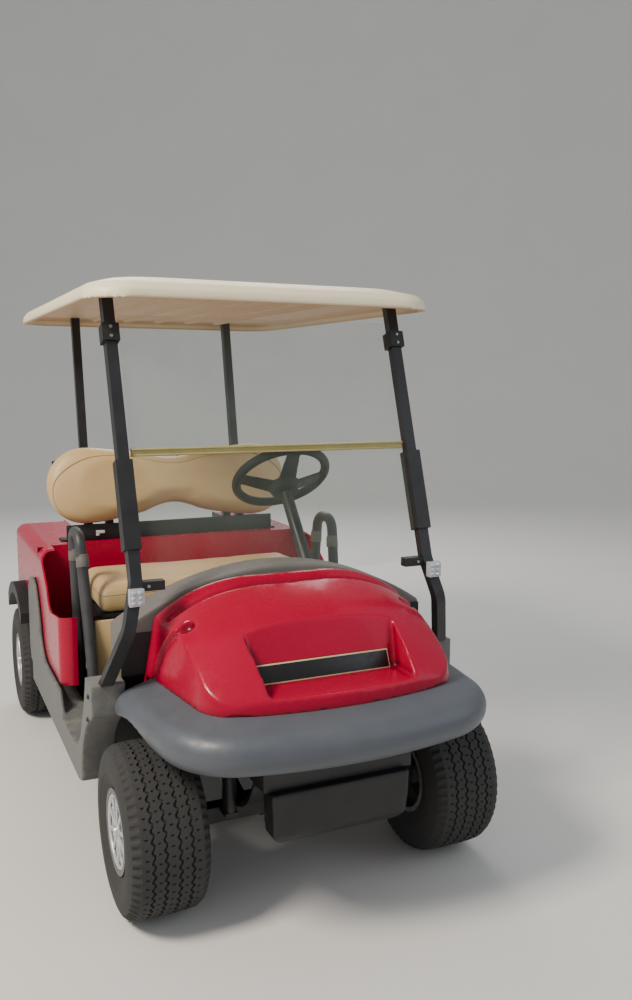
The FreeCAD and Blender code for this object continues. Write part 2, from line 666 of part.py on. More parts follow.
def make_floor_pan():
    """One bent panel: floor, sloping toe board and firewall, with the column's hole."""
    piece = new_body("floor_sheet")
    pieces.remove(piece)
    sketch = new_sketch(piece, "YZ_Plane")
    deck = "(dim.rail_bottom + dim.rail_height)"
    wall = "dim.floor_thickness"
    outline(sketch, (
        ("dim.body_front + 440", deck),
        ("dim.body_front + 440", f"{deck} + {wall}"),
        (f"-dim.floor_front + {wall} / 2", f"{deck} + {wall}"),
        (f"-dim.toe_board_front + {wall}", "dim.toe_board_top"),
        (f"-dim.firewall_front + {wall}", "dim.cowl_base"),
        (f"-dim.firewall_front + {wall}", "dim.cowl_base + 120"),
        ("-dim.firewall_front", "dim.cowl_base + 120"),
        ("-dim.firewall_front", "dim.cowl_base"),
        ("-dim.toe_board_front", "dim.toe_board_top"),
        ("-dim.floor_front", deck),
    ))
    pad(piece, sketch, "2 * dim.floor_half_width", midplane=True)
    drill = doc.addObject("Part::Cylinder", "column_hole")
    drill.setExpression("Radius", "dim.column_radius + dim.seating_gap")
    drill.Height = 300
    drill.Placement = FreeCAD.Placement(steering_point(850), FreeCAD.Rotation(Vec(0, 0, 1), steering_axis()))
    cut = doc.addObject("Part::Cut", "floor_pan")
    cut.Label = "floor_pan"
    cut.Base = piece
    cut.Tool = drill
    pieces.append(cut)


def make_floor_mat():
    """The rubber mat on the floor."""
    piece = new_body("floor_mat")
    sketch = new_sketch(piece, "XY_Plane", "dim.rail_bottom + dim.rail_height + dim.floor_thickness")
    side = "(dim.floor_half_width - dim.mat_margin)"
    outline(sketch, (
        (f"-{side}", "-dim.floor_front + dim.mat_margin / 2"),
        (side, "-dim.floor_front + dim.mat_margin / 2"),
        (side, "-dim.skirt_front - dim.mat_margin / 2"),
        (f"-{side}", "-dim.skirt_front - dim.mat_margin / 2"),
    ))
    pad(piece, sketch, "dim.mat_thickness")


def cowl_section(x, crown, nose, back):
    """One lengthwise section of the cowl: flat back and foot, rim band, groove, and sloping face."""
    base = size("cowl_base") - size("cowl_flange")
    band = back - size("cowl_rim_width")
    groove = band - size("cowl_groove_width")
    depth = size("cowl_groove_depth")
    rim = [Vec(x, back, crown - 10), Vec(x, (back + band) / 2, crown), Vec(x, band, crown - 6)]
    dip = [rim[-1], Vec(x, (band + groove) / 2, crown - depth), Vec(x, groove, crown - depth - 1)]
    slope_top = dip[-1]
    slope_foot = Vec(x, nose, base + 70)
    bulge = (slope_top + slope_foot) * 0.5 + Vec(0, -1, 1) * (0.06 * (slope_top - slope_foot).Length)
    foot = Vec(x, nose, base)
    heel = Vec(x, back, base)
    edges = [
        Part.LineSegment(heel, rim[0]).toShape(),
        Part.Arc(*rim).toShape(),
        Part.Arc(*dip).toShape(),
        Part.Arc(slope_top, bulge, slope_foot).toShape(),
        Part.LineSegment(slope_foot, foot).toShape(),
        Part.LineSegment(foot, heel).toShape(),
    ]
    return Part.Wire(edges)


def closed_plan(inset, back, z):
    """The bumper's plan line, inset, and closed straight across at the back."""
    line = bumper_plan(inset, z)
    ends = sorted((vertex.Point for vertex in line.OrderedVertexes), key=lambda point: -point.y)[:2]
    right, left = sorted(ends, key=lambda point: point.x)
    closing = Part.makePolygon([right, Vec(right.x, back, z), Vec(left.x, back, z), left])
    return Part.Wire(Part.__sortEdges__(line.Edges + closing.Edges))


def make_front_cowl():
    """The domed nose panel, with the wedge-shaped recess of the name plate."""
    half = size("cowl_half_width")
    nose = size("cowl_nose")
    crown = size("cowl_crown")
    back = -size("firewall_front")
    # Sections: share of the half width, crown's drop, nose's set-back.
    table = ((-1.0, 240, 270), (-0.88, 148, 150), (-0.55, 30, 42), (0, 0, 0),
             (0.55, 30, 42), (0.88, 148, 150), (1.0, 240, 270))
    wires = [cowl_section(share * half, crown - drop, -nose + setback, back)
             for share, drop, setback in table]
    dome = Part.makeLoft(wires, True, False)
    low = size("cowl_base") - size("cowl_flange")
    inset = size("cowl_seam_inset")
    sides = Part.makeLoft([closed_plan(inset, back, low),
                           closed_plan(inset + size("cowl_side_lean"), back, crown)], True, True)
    shape = dome.common(sides)
    foot = size("recess_foot")
    head = size("recess_head")
    foot_y = -size("recess_face")
    head_y = foot_y + (head - foot) * math.tan(math.radians(size("recess_lean_angle")))
    reach = size("cowl_half_width")
    wedge = polygon_prism([(-reach, foot_y, foot), (-reach, -nose - 40, foot), (-reach, -nose - 40, head),
                           (-reach, head_y, head)], (2 * reach, 0, 0))
    low_half = size("recess_foot_half")
    high_half = size("recess_head_half")
    trapezoid = polygon_prism([(-low_half, back, foot), (low_half, back, foot), (high_half, back, head),
                               (-high_half, back, head)], (0, -nose - 40 - back, 0))
    recess = wedge.common(trapezoid)
    seat = bumper_ring()
    seat.translate(Vec(0, 0, size("seating_gap")))
    finished_shape("front_cowl", shape.cut(recess).cut(seat).cut(both_sides(front_strut())))


def make_dash():
    """The dash behind the cowl: an arched top over open shelves."""
    back = size("floor_thickness") - size("firewall_front")
    rear = back + size("dash_depth")
    half = size("cowl_half_width") - size("dash_side_margin")
    low = size("cowl_base") + size("dash_foot")
    crown = size("cowl_crown") + size("dash_rise")
    edge = crown - size("dash_arch")
    outer = [
        Part.LineSegment(Vec(-half, back, low), Vec(half, back, low)).toShape(),
        Part.LineSegment(Vec(half, back, low), Vec(half, back, edge)).toShape(),
        Part.Arc(Vec(half, back, edge), Vec(0, back, crown), Vec(-half, back, edge)).toShape(),
        Part.LineSegment(Vec(-half, back, edge), Vec(-half, back, low)).toShape(),
    ]
    shape = Part.Face(Part.Wire(outer)).extrude(Vec(0, rear - back, 0))
    depth = size("dash_pocket_depth")
    wall = size("shelf_wall")
    column_side = size("steering_wheel_x") + 4 * wall
    for low_x, high_x in ((wall - half, -2 * wall), (column_side, half - wall)):
        shelf = block((low_x, rear - depth, low + wall / 2), (high_x, rear, edge - wall / 2))
        shape = shape.cut(shelf)
    column = steering_point(0)
    lower = steering_point(size("column_length"))
    hole = rod(tuple(column), tuple(lower), size("column_radius") + size("seating_gap"))
    finished_shape("dash", shape.cut(hole))


def bumper_plan(inset, z=0):
    """The bumper's line in plan, inset from its outside: leaning sides, round corners, bowed nose."""
    taper = math.radians(size("bumper_taper_angle"))
    forward = Vec(-math.sin(taper), -math.cos(taper), 0)
    outward = Vec(math.cos(taper), -math.sin(taper), 0)
    spare = size("bumper_trim")
    start = Vec(size("bumper_half_width"), -size("bumper_rear"), 0) - forward * spare
    corner = size("bumper_corner_radius")
    bow = size("bumper_nose_radius")
    bow_centre = Vec(0, -size("overall_length") / 2 + bow, 0)
    # The corner's centre stands one corner radius inside the side, and within the nose's circle.
    away = start - outward * corner - bow_centre
    along = away.dot(forward)
    run = math.sqrt(along ** 2 - away.dot(away) + (bow - corner) ** 2) - along
    centre = start - outward * corner + forward * run
    lead = (centre - bow_centre).normalize()
    level = Vec(0, 0, z)
    rear = start - outward * inset + level
    turn = centre + outward * (corner - inset) + level
    middle = centre + (outward + lead).normalize() * (corner - inset) + level
    meet = centre + lead * (corner - inset) + level
    side = [Part.LineSegment(rear, turn).toShape(), Part.Arc(turn, middle, meet).toShape()]
    other = [edge.mirror(Vec(0, 0, 0), Vec(1, 0, 0)) for edge in side]
    nose = bow_centre + Vec(0, inset - bow, z)
    front = Part.Arc(meet, nose, Vec(-meet.x, meet.y, z)).toShape()
    return Part.Wire(Part.__sortEdges__(side + [front] + other))


def bumper_ring():
    """The bumper's solid before the arches are cut: one round-faced section swept along its plan."""
    low = size("bumper_bottom")
    crest = size("bumper_crest")
    bend = size("bumper_round")
    slope = math.radians(size("bumper_top_angle"))
    tuck = math.radians(size("bumper_tuck_angle"))
    taper = math.radians(size("bumper_taper_angle"))
    spare = size("bumper_trim")
    side = size("bumper_half_width") + spare * math.sin(taper)
    start = Vec(side, spare * math.cos(taper) - size("bumper_rear"), 0)

    def spot(out, z):
        return start + Vec(out * math.cos(taper), -out * math.sin(taper), z)

    def on_round(turn):
        return (bend * (math.cos(turn) - 1), crest + bend * math.sin(turn))

    shoulder = on_round(math.pi / 2 - slope)
    under = on_round(-tuck)
    wall = -size("bumper_wall")
    top = shoulder[1] + (shoulder[0] - wall) * math.tan(slope)
    toe = under[0] - (under[1] - low) / math.tan(tuck)
    section = Part.Wire([
        Part.LineSegment(spot(wall, low), spot(wall, top)).toShape(),
        Part.LineSegment(spot(wall, top), spot(*shoulder)).toShape(),
        Part.Arc(spot(*shoulder), spot(*on_round(0)), spot(*under)).toShape(),
        Part.LineSegment(spot(*under), spot(toe, low)).toShape(),
        Part.LineSegment(spot(toe, low), spot(wall, low)).toShape(),
    ])
    return bumper_plan(0).makePipeShell([section], True, False)


def make_front_bumper():
    """The grey wrap-round bumper over the front wheels, trimmed straight at its rear ends."""
    half = size("overall_width") / 2
    rear = -size("bumper_rear")
    spare = size("bumper_trim")
    waste = block((-half, rear, size("bumper_bottom") - spare),
                  (half, rear + 4 * spare, size("cowl_base") + spare))
    finished_shape("front_bumper", bumper_ring().cut(waste).cut(front_arch()))


def make_lower_cover():
    """The tapered cover hung from the frame between the front wheels."""
    half = size("lower_cover_half_width")
    rear = -size("rail_front_end") + 50
    top = size("rail_bottom") + size("rail_front_rise")
    low = size("lower_cover_bottom")
    wires = []
    for z, inset in ((top, 0), (low + 24, 6), (low, 26)):
        front = rear - size("lower_cover_depth") + inset
        wires.append(Part.makePolygon([Vec(-half + inset, rear, z), Vec(-half + inset, front, z),
                                       Vec(half - inset, front, z), Vec(half - inset, rear, z),
                                       Vec(-half + inset, rear, z)]))
    finished_shape("front_lower_cover", Part.makeLoft(wires, True, True))


def side_outline(x, start, steps):
    """A closed side view outline at x: each step is a line's end, or an arc's middle and end."""
    edges = []
    here = start
    for step in steps + (start,):
        if isinstance(step[0], tuple):
            middle, there = step
            edges.append(Part.Arc(Vec(x, *here), Vec(x, *middle), Vec(x, *there)).toShape())
        else:
            there = step
            edges.append(Part.LineSegment(Vec(x, *here), Vec(x, *there)).toShape())
        here = there
    return Part.Face(Part.Wire(edges))


def arch_cutter(axle_y, rise, radius):
    """A cylinder right across the cart that cuts both wheel arches of an axle."""
    reach = size("overall_width")
    return Part.makeCylinder(radius, reach, Vec(-reach / 2, axle_y, size("tyre_radius") + rise), Vec(1, 0, 0))


def front_arch():
    """The cutter of the front wheel arches."""
    return arch_cutter(front_axle_y(), size("front_arch_rise"), size("front_arch_radius"))


def rear_arch():
    """The cutter of the rear wheel arches."""
    return arch_cutter(rear_axle_y(), 0, size("rear_arch_radius"))


def make_rockers():
    """The grey sills: flap behind the front wheel, step, and sweep round the rear arch."""
    inner = size("floor_half_width")
    skin = size("body_half_width")
    outer = size("rocker_outer")
    low = size("rocker_bottom")
    top = size("rocker_top")
    step = size("rocker_step")
    seam = size("cowl_base")
    flap = -size("bumper_rear")
    sill = side_outline(inner, (-470, low + 18), (
        (-400, low), (600, low), (600, step), (-300, step),
        ((-404, 356), (-468, 430)), ((-520, 520), (-548, seam)), (flap, seam), (flap, low + 18)))
    sill = sill.extrude(Vec(outer - inner, 0, 0))
    sweep = side_outline(skin, (-60, step - 20), (
        (660, step - 20), (660, 590), ((626, 640), (566, 655)), ((520, 652), (476, 622)),
        ((428, 560), (392, 486)), ((340, 424), (240, top)), (-40, top), (-100, step)))
    sweep = sweep.extrude(Vec(outer - skin, 0, 0))
    shape = sill.fuse(sweep).cut(front_arch()).cut(rear_arch())
    finished_shape("rocker_panels", both_sides(shape.removeSplitter()))


def body_block(inset):
    """The rear body's outside, or its inside when inset by the wall."""
    half = size("body_half_width") - inset
    low = size("rocker_top") - inset * 20
    deck = size("body_deck") - inset
    shape = block((-half, -size("body_front") + inset, low), (half, size("body_rear") - inset, deck))
    radius = size("body_shoulder") - inset
    edges = [edge for edge in shape.Edges
             if all(abs(v.Z - deck) < 0.01 for v in edge.Vertexes)
             and abs(edge.Vertexes[0].X - edge.Vertexes[1].X) < 0.01]
    tail = [edge for edge in shape.Edges
            if all(abs(v.Z - deck) < 0.01 and v.Y > size("body_rear") - inset - 1 for v in edge.Vertexes)]
    corners = [edge for edge in shape.Edges
               if abs(edge.Vertexes[0].Z - edge.Vertexes[1].Z) > radius
               and edge.Vertexes[0].Y < -size("body_front") + inset + 1]
    return shape.makeFillet(radius, edges + tail + corners)


def make_rear_body():
    """The red rear body: side panels, wall behind the seat, deck and the bag well's opening."""
    wall = size("body_panel")
    shape = body_block(0).cut(body_block(wall))
    half = size("body_half_width")
    deck = size("body_deck")
    bulk = size("bulkhead_front")
    front = size("body_front")
    bulkhead = block((-half + wall / 2, bulk, size("rocker_top")),
                     (half - wall / 2, bulk + wall, deck - wall / 2))
    shape = shape.fuse(bulkhead)
    dip = size("side_dip")
    side_cut = side_outline(-half - 1, (-front - 1, dip + 28), (
        ((90, dip + 14), (190, dip)), ((236, dip + 22), (266, dip + 66)), (bulk - 110, deck - 34),
        ((bulk - 86, deck - 10), (bulk - 50, deck + 1)), (-front - 1, deck + 1)))
    shape = shape.cut(side_cut.extrude(Vec(2 * half + 2, 0, 0)))
    opening = size("seat_opening_half_width")
    shape = shape.cut(block((-opening, -front - 1, size("rocker_top") - 1), (opening, bulk, deck + 1)))
    well = size("well_half_width")
    shape = shape.cut(block((-well, size("well_front"), size("rocker_top") - 1),
                            (well, size("body_rear") + 1, deck + 1)))
    shape = shape.cut(rear_arch())
    finished_shape("rear_body", shape.removeSplitter())


def make_bag_well():
    """The tray that golf bags stand in: floor, front wall and two side walls."""
    half = size("well_half_width")
    wall = size("well_wall")
    front = size("well_front")
    low = size("well_floor") - wall
    rear = size("body_rear") - 12
    shape = block((-half, front, low), (half, rear, size("body_deck")))
    hollow = block((-half + wall, front + wall, low + wall), (half - wall, rear + 1, size("body_deck") + 1))
    finished_shape("bag_well", shape.cut(hollow))


def make_rear_flares():
    """Black lips over the rear wheels, as wide as the cart."""
    radius = size("rear_arch_radius")
    centre = Vec(size("body_half_width"), rear_axle_y(), size("tyre_radius"))
    reach = size("overall_width") / 2 - centre.x
    ring = Part.makeCylinder(radius + size("flare_width"), reach, centre, Vec(1, 0, 0))
    ring = ring.cut(Part.makeCylinder(radius, reach, centre, Vec(1, 0, 0)))
    y = centre.y
    z = centre.z
    keep = polygon_prism([(centre.x, y, z + 120), (centre.x, y - 210, z + 210), (centre.x, y - 260, z + 420),
                          (centre.x, y + 260, z + 420), (centre.x, y + 230, z + 190)], (reach, 0, 0))
    lip = ring.common(keep).cut(rocker_block())
    finished_shape("rear_flares", both_sides(lip))


def rocker_block():
    """The room that the rocker's upper end takes in front of the rear flare."""
    return block((size("floor_half_width"), 300, 200), (size("rocker_outer"), 701, 660))


def make_rear_bumper():
    """The black bar across the tail."""
    piece = new_body("rear_bumper")
    sketch = new_sketch(piece, "XY_Plane", "dim.rear_bumper_bottom")
    tail = "(dim.overall_length / 2)"
    outline(sketch, (
        ("-dim.rear_bumper_half_width", "dim.body_rear"),
        ("dim.rear_bumper_half_width", "dim.body_rear"),
        ("dim.rear_bumper_half_width - 24", f"{tail} - 8"),
        ("dim.rear_bumper_half_width - 120", tail),
        ("-dim.rear_bumper_half_width + 120", tail),
        ("-dim.rear_bumper_half_width + 24", f"{tail} - 8"),
    ))
    pad(piece, sketch, "dim.rear_bumper_height")


def seat_floor():
    """The underside of the lifting seat."""
    return size("seat_top") - size("seat_thickness") - size("seat_base_thickness")


def make_seat_skirt():
    """The tan panel from the floor up to the seat."""
    floor = size("rail_bottom") + size("rail_height") + size("floor_thickness")
    top = seat_floor() - size("seating_gap")
    front = -size("skirt_front")
    half = size("skirt_half_width")
    panel = block((-half, front, floor), (half, front + size("skirt_thickness"), top))
    finished_shape("seat_skirt", panel)


# Middles of the seat's two hinges, across the cart.
SEAT_HINGES = (-230, 230)


def seat_hinge_line():
    """The seat hinge's place along the cart and its height."""
    return size("seat_hinge_rear"), seat_floor() + size("seat_knuckle_radius")


def make_seat_hinges():
    """Brackets on the wall behind the seat, each with the pin that a seat knuckle turns on."""
    y, z = seat_hinge_line()
    wall = size("bulkhead_front")
    radius = size("seat_knuckle_radius")
    brackets = []
    for x in SEAT_HINGES:
        bracket = rod((x - 34, y, z), (x + 34, y, z), size("seat_pin_radius"))
        for side in (-1, 1):
            cheek_x = x + side * 30 - 4
            cheek = block((cheek_x, y, z - radius), (cheek_x + 8, wall, z + radius))
            bracket = bracket.fuse(cheek).fuse(rod((cheek_x, y, z), (cheek_x + 8, y, z), radius))
        bracket = bracket.fuse(block((x - 34, wall - 6, z - 24), (x + 34, wall, z + 24)))
        brackets.append(bracket.removeSplitter())
    finished_shape("seat_hinges", Part.makeCompound(brackets))


def make_seat():
    """The seat that lifts: a moulded base with its hinge, and a cushion."""
    top = size("seat_top")
    low = top - size("seat_thickness")
    half = size("seat_half_width")
    front = -size("seat_front")
    rear = size("seat_rear")
    cushion = block((-half, front, low), (half, rear, top))
    top_edges = [edge for edge in cushion.Edges if all(abs(v.Z - top) < 0.01 for v in edge.Vertexes)]
    cushion = cushion.makeFillet(size("seat_round"), top_edges)
    finished_shape("seat_cushion", cushion)
    base_low = seat_floor()
    base = block((-half + 20, front + 20, base_low), (half - 20, rear - 10, low - size("seating_gap")))
    y, z = seat_hinge_line()
    radius = size("seat_knuckle_radius")
    bore = size("seat_pin_radius") + size("running_gap")
    for x in SEAT_HINGES:
        ear = block((x - 25, rear - 60, base_low), (x + 25, y, base_low + 8))
        base = base.fuse(ear).fuse(rod((x - 25, y, z), (x + 25, y, z), radius))
    for x in SEAT_HINGES:
        base = base.cut(rod((x - 25, y, z), (x + 25, y, z), bore))
    finished_shape("seat_base", base.removeSplitter())


def butterfly_outline(y, inset):
    """The seat back's outline: two lobes that dip between them, with round ends."""
    half = size("back_half_width") - inset
    low = size("back_bottom") + inset
    top = size("back_top") - inset
    dip = size("back_notch_top")
    rise = size("back_notch_bottom")
    lobe = 190
    end = size("back_half_width") - 128
    right = [
        Part.Arc(Vec(0, y, low + rise), Vec(60, y, low + rise * 0.8),
                 Vec(110, y, low + rise * 0.42)).toShape(),
        Part.Arc(Vec(110, y, low + rise * 0.42), Vec(lobe, y, low + 4), Vec(end, y, low)).toShape(),
        Part.Arc(Vec(end, y, low), Vec(half - 22, y, low + 72), Vec(half, y, low + 150)).toShape(),
        Part.Arc(Vec(half, y, low + 150), Vec(half - 46, y, top - 46), Vec(end - 20, y, top)).toShape(),
        Part.Arc(Vec(end - 20, y, top), Vec(lobe, y, top - 4), Vec(90, y, top - dip * 0.55)).toShape(),
        Part.Arc(Vec(90, y, top - dip * 0.55), Vec(45, y, top - dip * 0.9), Vec(0, y, top - dip)).toShape(),
    ]
    left = [edge.mirror(Vec(0, 0, 0), Vec(1, 0, 0)) for edge in right]
    return Part.Wire(Part.__sortEdges__(right + left))


def make_seat_back():
    """The butterfly seat back cushion, leaning back, and the frame behind it."""
    front = size("back_front")
    depth = size("back_thickness")
    low = size("back_bottom")
    inset = size("back_edge_inset")
    # Sections: share of the depth, share of the inset.
    stations = ((0, 1), (0.12, 0.35), (0.35, 0), (0.65, 0), (0.88, 0.35), (1, 1))
    shape = Part.makeLoft([butterfly_outline(front + share * depth, edge * inset)
                           for share, edge in stations], True, True)
    lean = size("back_lean_angle")
    pivot = Vec(0, front, low)
    shape.rotate(pivot, Vec(1, 0, 0), -lean)
    finished_shape("seat_back_cushion", shape)
    # Frame: two uprights from the deck with a cross bar, close behind the cushion.
    deck = size("body_deck")
    tilt = math.tan(math.radians(lean))
    back_y = front + depth / math.cos(math.radians(lean))
    bar = size("back_frame_bar")
    frame = None
    for side in (-1, 1):
        x = side * size("back_post_half_spacing")
        low_y = back_y - (low - deck) * tilt + size("seating_gap")
        high = size("back_post_height")
        post = polygon_prism([(x - bar / 2, low_y, deck), (x - bar / 2, low_y + bar, deck),
                              (x - bar / 2, low_y + (high - deck) * tilt + bar, high),
                              (x - bar / 2, low_y + (high - deck) * tilt, high)], (bar, 0, 0))
        frame = post if frame is None else frame.fuse(post)
    cross_z = size("back_bar_height")
    cross_y = back_y + (cross_z + bar / 2 - low) * tilt + size("seating_gap")
    struts = size("rear_strut_half_spacing") - size("strut_size") / 2
    frame = frame.fuse(block((-struts, cross_y, cross_z - bar / 2),
                             (struts, cross_y + bar, cross_z + bar / 2)))
    arm_end = rear_strut_y(cross_z) + size("strut_size") / 2
    for side in (-1, 1):
        inner, outer = sorted((side * struts, side * (struts - bar)))
        frame = frame.fuse(block((inner, cross_y, cross_z - bar / 2), (outer, arm_end, cross_z + bar / 2)))
    finished_shape("seat_back_frame", frame.removeSplitter())


def make_hip_restraints():
    """A hoop beside each end of the seat, from the floor up and down into the body side."""
    floor = size("rail_bottom") + size("rail_height") + size("floor_thickness")
    radius = size("restraint_radius")
    top = size("restraint_top") - radius
    foot = size("restraint_half_spacing")
    bow = foot + size("restraint_bow")
    bend = size("restraint_bend")
    corners = ((foot, -66, floor), (bow, 44, top), (bow, 168, top), (foot, 206, floor))
    path = rounded_path(corners, (bend, bend))
    hoop = swept_tube(path, radius).cut(room_between(floor - 2 * bend, floor))
    finished_shape("hip_restraints", both_sides(hoop))


def canopy_ceiling():
    """The underside of the canopy's shell, which the struts are screwed to."""
    return size("overall_height") - size("canopy_edge_round") - size("canopy_wall")


def strut_points():
    """The front strut's centre line, from the bumper up past the canopy's ceiling."""
    head = size("overall_height") - size("strut_end_depth")
    side = size("strut_half_spacing")
    bend_y = -size("strut_bend")
    knee_z = size("strut_knee_height")
    bend_z = size("strut_bend_height")
    rake = (head - bend_z) * math.tan(math.radians(size("strut_rake_angle")))
    return ((side + 82, bend_y + 40, size("cowl_base") - 12), (side + 28, bend_y - 36, knee_z),
            (side, bend_y, bend_z), (side + size("strut_spread"), bend_y + rake, head))


def trimmed_strut(bar, low):
    """A strut cut level at its foot and at the canopy's ceiling."""
    ceiling = canopy_ceiling()
    return bar.cut(room_between(low - 60, low)).cut(room_between(ceiling, ceiling + 60))


def front_strut():
    """The left front strut."""
    bar = square_bar(strut_points(), (60, 60), size("strut_size"), (0, 1, 0))
    return trimmed_strut(bar, size("cowl_base"))


def make_front_struts():
    """Bent square struts that carry the canopy and the windscreen."""
    finished_shape("front_struts", both_sides(front_strut()))


def rear_strut_y(z):
    """How far back a rear strut's centre line stands at one height."""
    foot = size("rear_strut_foot")
    deck = size("body_deck")
    return foot + (size("rear_strut_head") - foot) * (z - deck) / (canopy_ceiling() - deck)


def rear_strut():
    """The left rear strut, from the deck to the canopy."""
    x = size("rear_strut_half_spacing")
    deck = size("body_deck")
    low = deck - size("strut_size")
    high = canopy_ceiling() + size("strut_size")
    line = ((x, rear_strut_y(low), low), (x, rear_strut_y(high), high))
    bar = square_bar(line, (), size("strut_size"), (1, 0, 0))
    return trimmed_strut(bar, deck)


def make_rear_struts():
    """Straight square struts that carry the back of the canopy."""
    finished_shape("rear_struts", both_sides(rear_strut()))


def canopy_plan(z, inset):
    """The canopy's plan at one height: a rectangle with round corners."""
    half = size("canopy_half_width") - inset
    front = -size("canopy_front") + inset
    rear = size("canopy_rear") - inset
    radius = size("canopy_corner")
    corners = ((half, front), (half, rear), (-half, rear), (-half, front))
    centres = [(math.copysign(half - radius, x), y + radius if y < 0 else y - radius) for x, y in corners]
    edges = []
    starts = (-90, 0, 90, 180)
    ends = []
    for (cx, cy), start in zip(centres, starts):
        points = [Vec(cx + radius * math.cos(math.radians(start + turn)),
                      cy + radius * math.sin(math.radians(start + turn)), z) for turn in (0, 45, 90)]
        ends.append(points)
    for step, points in enumerate(ends):
        edges.append(Part.Arc(*points).toShape())
        edges.append(Part.LineSegment(points[2], ends[(step + 1) % 4][0]).toShape())
    return Part.Wire(edges)


def make_canopy():
    """A moulded roof: turned-down edge, slight crown, and ribs underneath."""
    top = size("overall_height")
    low = top - size("canopy_skirt")
    upright = low + size("canopy_wall_height")
    wall = size("canopy_wall")
    ceiling = canopy_ceiling()
    # Sections: height, inset in plan.
    shoulder = top - size("canopy_edge_round")
    outside = ((low, 0), (upright, 4), (shoulder, 20), (top - size("canopy_crown"), 84), (top, 260))
    hollow = ((low - 1, wall), (upright, 4 + wall), (ceiling, 30 + wall))
    outer = Part.makeLoft([canopy_plan(z, inset) for z, inset in outside], True, True)
    inner = Part.makeLoft([canopy_plan(z, inset) for z, inset in hollow], True, True)
    shape = outer.cut(inner)
    front = size("canopy_corner") - size("canopy_front")
    rear = size("canopy_rear") - size("canopy_corner")
    low_rib = ceiling - size("canopy_rib_depth")
    reach = size("canopy_rib_width") / 2
    count = int(size("canopy_ribs"))
    for step in range(count):
        x = (step - (count - 1) / 2) * size("canopy_rib_pitch")
        shape = shape.fuse(block((x - reach, front, low_rib), (x + reach, rear, ceiling + 2)))
    finished_shape("canopy", shape.removeSplitter())


def windscreen_line(z):
    """The windscreen's place along the cart at a height, from the strut's straight run."""
    foot = strut_points()[2]
    head = strut_points()[3]
    share = (z - foot[2]) / (head[2] - foot[2])
    return foot[1] + share * (head[1] - foot[1])


def pane(low, high):
    """A flat clear pane between two heights, in the struts' plane."""
    half = size("pane_half_width")
    thick = size("pane_thickness")
    low_y = windscreen_line(low)
    high_y = windscreen_line(high)
    return polygon_prism([(-half, low_y, low), (-half, low_y + thick, low), (-half, high_y + thick, high),
                          (-half, high_y, high)], (2 * half, 0, 0))


def make_windscreen():
    """Two panes joined by a hinge strip, with clips at the foot and clamps round the struts at the head."""
    strip = size("hinge_strip_height")
    hinge_z = size("pane_hinge")
    foot_z = size("pane_foot")
    head_z = size("overall_height") - size("canopy_skirt") - size("pane_head")
    lower = pane(foot_z, hinge_z - strip / 2)
    upper = pane(hinge_z + strip / 2, head_z)
    finished_shape("windscreen_lower", lower)
    finished_shape("windscreen_upper", upper)
    half = size("pane_half_width")
    depth = size("hinge_strip_depth")
    front = windscreen_line(hinge_z) + size("pane_thickness") / 2 - depth / 2
    finished_shape("windscreen_hinge", block((-half, front, hinge_z - strip / 2),
                                             (half, front + depth, hinge_z + strip / 2)))
    strut = front_strut()
    wide = size("clip_width")
    tall = size("clip_height")
    deep = size("clip_depth")
    low = foot_z - tall / 2
    y = windscreen_line(foot_z) + size("pane_thickness") / 2
    clip = block((half - wide, y - deep / 2, low), (size("strut_half_spacing"), y + deep / 2, low + tall))
    middle = head_z - size("clamp_drop")
    rise = size("clamp_height") / 2
    side = size("strut_size") + 2 * size("clamp_wall")
    clamp = square_bar((strut_at(middle - rise), strut_at(middle + rise)), (), side, (0, 1, 0))
    clips = [clip.cut(lower).cut(strut), clamp.cut(upper).cut(strut)]
    finished_shape("windscreen_clips", both_sides(Part.makeCompound(clips)))


def strut_at(z):
    """The centre of the front strut's straight upper run at a height."""
    foot = strut_points()[2]
    head = strut_points()[3]
    share = (z - foot[2]) / (head[2] - foot[2])
    return tuple(a + share * (b - a) for a, b in zip(foot, head))


def make_strut_sleeves():
    """Padded sleeves round the struts where the folded pane rests."""
    side = size("strut_size") + 2 * size("sleeve_wall")
    low = size("sleeve_foot")
    outer = square_bar((strut_at(low), strut_at(low + size("sleeve_length"))), (), side, (0, 1, 0))
    finished_shape("strut_sleeves", both_sides(outer.cut(front_strut())))


def make_marker_lamps():
    """A small lamp on a foot below the bend of each front strut."""
    knee = strut_points()[1]
    bend = strut_points()[2]
    x, y, z = ((a + 3 * b) / 4 for a, b in zip(knee, bend))
    face = y - size("strut_size") / 2 - 6
    lamp = Part.makeCylinder(19, 22, Vec(x, face, z), Vec(0, -1, 0))
    foot = block((x - 12, face, z - 12), (x + 12, y, z + 12))
    finished_shape("marker_lamps", both_sides(lamp.fuse(foot).cut(front_strut())))


def steering_axis():
    """The column's direction, up towards the driver."""
    turn = math.radians(size("column_angle"))
    return Vec(0, math.sin(turn), math.cos(turn))


def steering_point(down):
    """A point on the column's axis, so far down from the steering wheel's middle."""
    centre = Vec(size("steering_wheel_x"), -size("steering_wheel_y"), size("steering_wheel_z"))
    return centre - steering_axis() * down


